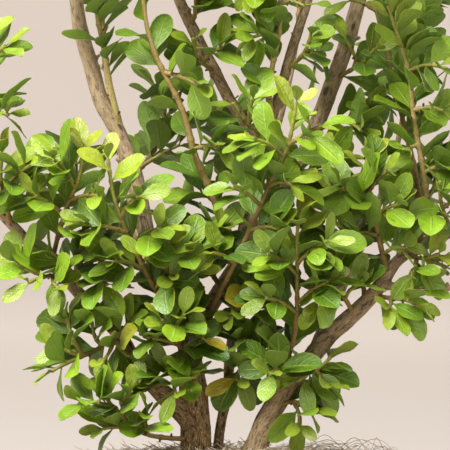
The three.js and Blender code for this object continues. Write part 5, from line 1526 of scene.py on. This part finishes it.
class HOLLY_OT_pot(bpy.types.Operator):
    """Model the pot and the mesh over its drain hole"""

    bl_idname = "holly.pot"
    bl_label = "Model pot"

    def execute(self, context):
        look = context.scene.holly_pot
        self.model_pot(look)
        self.model_drain_mesh(look)
        return {"FINISHED"}

    def model_pot(self, look):
        body, inside, rim = BODY_RADIUS, INSIDE_RADIUS, POT_HEIGHT - RIM_DROP
        profile = rounded([
            (DRAIN_RADIUS, FOOT_HEIGHT), (body - 0.019, FOOT_HEIGHT), (body - 0.012, FOOT_HEIGHT + 0.003),
            (body - 0.004, 0.03), (body, rim - 0.002), (POT_RADIUS - 0.001, rim),
            (POT_RADIUS, POT_HEIGHT - 0.004), (POT_RADIUS - 0.002, POT_HEIGHT), (inside + 0.002, POT_HEIGHT),
            (inside, POT_HEIGHT - 0.003), (inside - 0.004, 0.032), (inside - 0.012, FLOOR_TOP + 0.002),
            (inside - 0.016, FLOOR_TOP), (DRAIN_RADIUS, FLOOR_TOP)], 0.006)
        rows = [(out, height, 1 if out == DRAIN_RADIUS else POT_SHARE) for out, height in profile]
        mesh = turned_form("pot_stoneware", rows, look.segments)
        with edited(mesh) as bm:
            for x_side in (-1, 1):
                for y_side in (-1, 1):
                    foot_block(bm, x_side, y_side)
        mesh_piece(mesh, "stoneware", clay_finish(look), "pot", 50)

    def model_drain_mesh(self, look):
        bottom = FLOOR_TOP + GAP
        profile = [
            (0.0016, 0.0001), (0.0002, 0), (0, 0.0002), (0, MESH_DEPTH - 0.0002), (0.0002, MESH_DEPTH),
            (0.0016, MESH_DEPTH - 0.0001)]
        rows = [(MESH_RADIUS - inwards, bottom + height, 1) for inwards, height in profile]
        mesh = turned_form("drain_mesh_grid", rows, 96)
        width, depth = STRAND_SHARE * look.mesh_pitch, MESH_DEPTH / 2
        count = int((MESH_RADIUS - 0.0018) / look.mesh_pitch)
        with edited(mesh) as bm:
            for index in range(-count, count + 1):
                offset = index * look.mesh_pitch
                reach = 2 * math.sqrt((MESH_RADIUS - MESH_RIM) ** 2 - offset ** 2)
                for size, middle in (
                    ((reach, width, depth), (0, offset, bottom + MESH_DEPTH / 4)),
                    ((width, reach, depth), (offset, 0, bottom + 0.72 * MESH_DEPTH)),
                ):
                    place = Matrix.Translation(middle) @ Matrix.Diagonal((*size, 1))
                    bmesh.ops.create_cube(bm, size=1, matrix=place)
        mesh_piece(mesh, "mesh", mesh_finish(look), "drain_mesh", 40)


class HOLLY_OT_ground(bpy.types.Operator):
    """Model the soil and the dry moss on it"""

    bl_idname = "holly.ground"
    bl_label = "Model ground"

    def execute(self, context):
        look = context.scene.holly_ground
        self.model_soil(look)
        self.model_moss(look)
        return {"FINISHED"}

    def model_soil(self, look):
        inside, bottom = GROUND_RADIUS, FLOOR_TOP + GAP
        hollow = MESH_RADIUS + GAP, bottom + MESH_DEPTH + GAP
        rows = [
            (0, hollow[1], 1), (*hollow, 1), (hollow[0], bottom, 1), (inside - 0.0165, bottom, POT_SHARE),
            (inside - 0.0125, FLOOR_TOP + 0.0025, POT_SHARE), (inside - 0.0043, 0.032, POT_SHARE)]

        def crumbs(place):
            fine = 0.0009 * noise.fractal(place * 260, 0.8, 2.2, 3)
            return fine + 0.0007 * noise.noise(place * 60) - 0.0006

        mesh = ground_form("soil_surface", rows, inside - 0.0008, 120, 44, MOSS_DEPTH + GAP, crumbs)
        mesh_piece(mesh, "soil", soil_finish(look), "soil", 60)

    def model_moss(self, look):
        reach = MOSS_REACH * MOSS_RADIUS
        rows = [(0, GROUND - MOSS_DEPTH, 1)]
        for ring in range(1, 12):
            radius = reach * ring / 11
            rows.append((radius, ground_level(radius, 0) - MOSS_DEPTH + 0.0003, POT_SHARE))

        def tufts(place):
            high = noise.fractal(place * 120, 0.8, 2.1, 4)
            edge = math.hypot(place.x, place.y / POT_SHARE) / reach
            return 0.0009 * high + 0.0004 - 0.0012 * max(0, edge - 0.9) / 0.1

        mesh = ground_form("moss_mat_surface", rows, reach, 160, 60, 0.0, tufts)
        mesh_piece(mesh, "moss", mat_finish(look), "moss_mat")
        sheet = bpy.data.meshes.new("Moss top")
        with edited(sheet, mesh) as top:
            sides = [face for face in top.faces if face.normal.z < 0.2]
            bmesh.ops.delete(top, geom=sides, context="FACES")
        wisps = curve_of("Wisps", self.wisp_routes(look))
        fibres = grown_piece(placed_in_scene("Moss top", sheet), "moss_mat_fibres", fibre_tree(), {
            "Density": look.fibre_density, "Length": look.fibre_length, "Radius": look.fibre_radius,
            "Lift": look.fibre_lift, "Seed": 5, "Wisps": wisps, "Finish": fibre_finish(look)})
        bpy.data.objects.remove(wisps)
        fit_to_frame(fibres, "moss", "moss_mat")

    def wisp_routes(self, look):
        """Longer strands that stand in loose loops beside the right trunk."""
        for number in range(look.wisps):
            x, y, flip, turn, reach, high, thick = (
                mix(low, top, draw(801, number, kind)) for low, top, kind in (
                    (0.036, 0.086, 1), (0.004, 0.05, 2), (0, 1, 4), (-0.6, 0.6, 3), (0.012, 0.03, 5),
                    (0.003, 0.011, 6), (0.6, 1.3, 7)))
            turn += math.pi if flip > 0.6 else 0
            points = []
            for step, part in enumerate(np.arange(5) / 4):
                run, sway = reach * (part - 0.5), 0.004 * (draw(802, number, step) - 0.5)
                spot_x = x + math.cos(turn) * run - math.sin(turn) * sway
                spot_y = y + math.sin(turn) * run + math.cos(turn) * sway
                lift = high * math.sin(math.pi * part) * mix(0.7, 1.2, draw(803, number, step))
                points.append((spot_x, spot_y, ground_level(spot_x, spot_y) + lift))
            yield Route(points).samples(14), np.full(14, look.fibre_radius * thick)


# Stage

LIGHTS = {
    "key": ((-0.8, -1.0, 1.8), None, 1.7, (1, 0.98, 0.95)),
    "fill": ((1.9, -1.2, 1.0), None, 1.2, (0.97, 0.98, 1)),
    "back": ((0, 3.8, 3.1), (0, 6.6, 0.4), 4.0, (1, 0.99, 0.98)),
}
FLOOR_RADIUS = 4.4
FLOOR_CURVE = 2.6
WALL_HEIGHT = 3.6
FILM_WIDTH = 36


class HOLLY_OT_stage(bpy.types.Operator):
    """Set the floor, the lights and the camera"""

    bl_idname = "holly.stage"
    bl_label = "Set stage"

    def execute(self, context):
        look = context.scene.holly_stage
        rows = [(0, 0, 1), (0.6, 0, 1), (2, 0, 1), (FLOOR_RADIUS, 0, 1)]
        for angle in np.linspace(0, math.pi / 2, 17)[1:]:
            out, rise = FLOOR_CURVE * math.sin(angle), FLOOR_CURVE * (1 - math.cos(angle))
            rows.append((FLOOR_RADIUS + out, rise, 1))
        rows.append((FLOOR_RADIUS + FLOOR_CURVE, WALL_HEIGHT, 1))
        mesh = turned_form("stage_floor", rows, 64)
        mesh.flip_normals()
        mesh.shade_smooth()
        mesh.materials.append(stage_finish(look))
        floor = placed_in_scene("stage_floor", mesh)

        centre = Vector((0, 0, look.framed_centre))
        for name, (place, aim, size, color) in LIGHTS.items():
            data = bpy.data.lights.new(f"stage_{name}", "AREA")
            data.shape = "DISK"
            data.size = size
            data.energy = getattr(look, f"{name}_power")
            data.color = color
            light = placed_in_scene(data.name, data)
            light.location = place
            way = Vector(aim or centre) - Vector(place)
            light.rotation_euler = way.to_track_quat("-Z", "Y").to_euler()
        world = bpy.data.worlds.new("Studio")
        world.use_nodes = True
        sky = world.node_tree.nodes["Background"]
        sky.inputs["Color"].default_value = (*look.sky_color, 1)
        sky.inputs["Strength"].default_value = look.sky
        context.scene.world = world
        context.scene.view_settings.view_transform = "Standard"

        data = bpy.data.cameras.new("stage_camera")
        data.sensor_width = FILM_WIDTH
        data.lens = FILM_WIDTH * look.distance / look.framed_width
        data.clip_end = 60
        camera = placed_in_scene("stage_camera", data)
        camera.location = centre + look.distance * Vector((0, -math.cos(look.dip), math.sin(look.dip)))
        camera.rotation_euler = (math.pi / 2 - look.dip, 0, 0)
        context.scene.camera = camera
        return {"FINISHED"}


# Panel and registration

SETTINGS = {
    "pot": HollyPotSettings, "ground": HollyGroundSettings, "wood": HollyWoodSettings,
    "foliage": HollyFoliageSettings, "stage": HollyStageSettings,
}


class HOLLY_PT_panel(bpy.types.Panel):
    """The bonsai's settings and steps"""

    bl_idname = "HOLLY_PT_panel"
    bl_label = "Upright holly bonsai"
    bl_space_type = "VIEW_3D"
    bl_region_type = "UI"
    bl_category = "Holly"

    def draw(self, context):
        for step, group in SETTINGS.items():
            box = self.layout.box()
            box.operator(f"holly.{step}")
            for name in group.__annotations__:
                box.prop(getattr(context.scene, f"holly_{step}"), name)


CLASSES = [
    *SETTINGS.values(), HOLLY_OT_pot, HOLLY_OT_ground, HOLLY_OT_wood, HOLLY_OT_foliage, HOLLY_OT_stage,
    HOLLY_PT_panel,
]


def register():
    for item in CLASSES:
        bpy.utils.register_class(item)
    for step, group in SETTINGS.items():
        setattr(bpy.types.Scene, f"holly_{step}", bpy.props.PointerProperty(type=group))


def unregister():
    for step in SETTINGS:
        delattr(bpy.types.Scene, f"holly_{step}")
    for item in reversed(CLASSES):
        bpy.utils.unregister_class(item)


def main():
    register()
    bpy.ops.holly.pot()
    bpy.ops.holly.ground()
    bpy.ops.holly.wood()
    bpy.ops.holly.foliage()
    bpy.ops.holly.stage()
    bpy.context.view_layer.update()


if __name__ == "__main__":
    main()
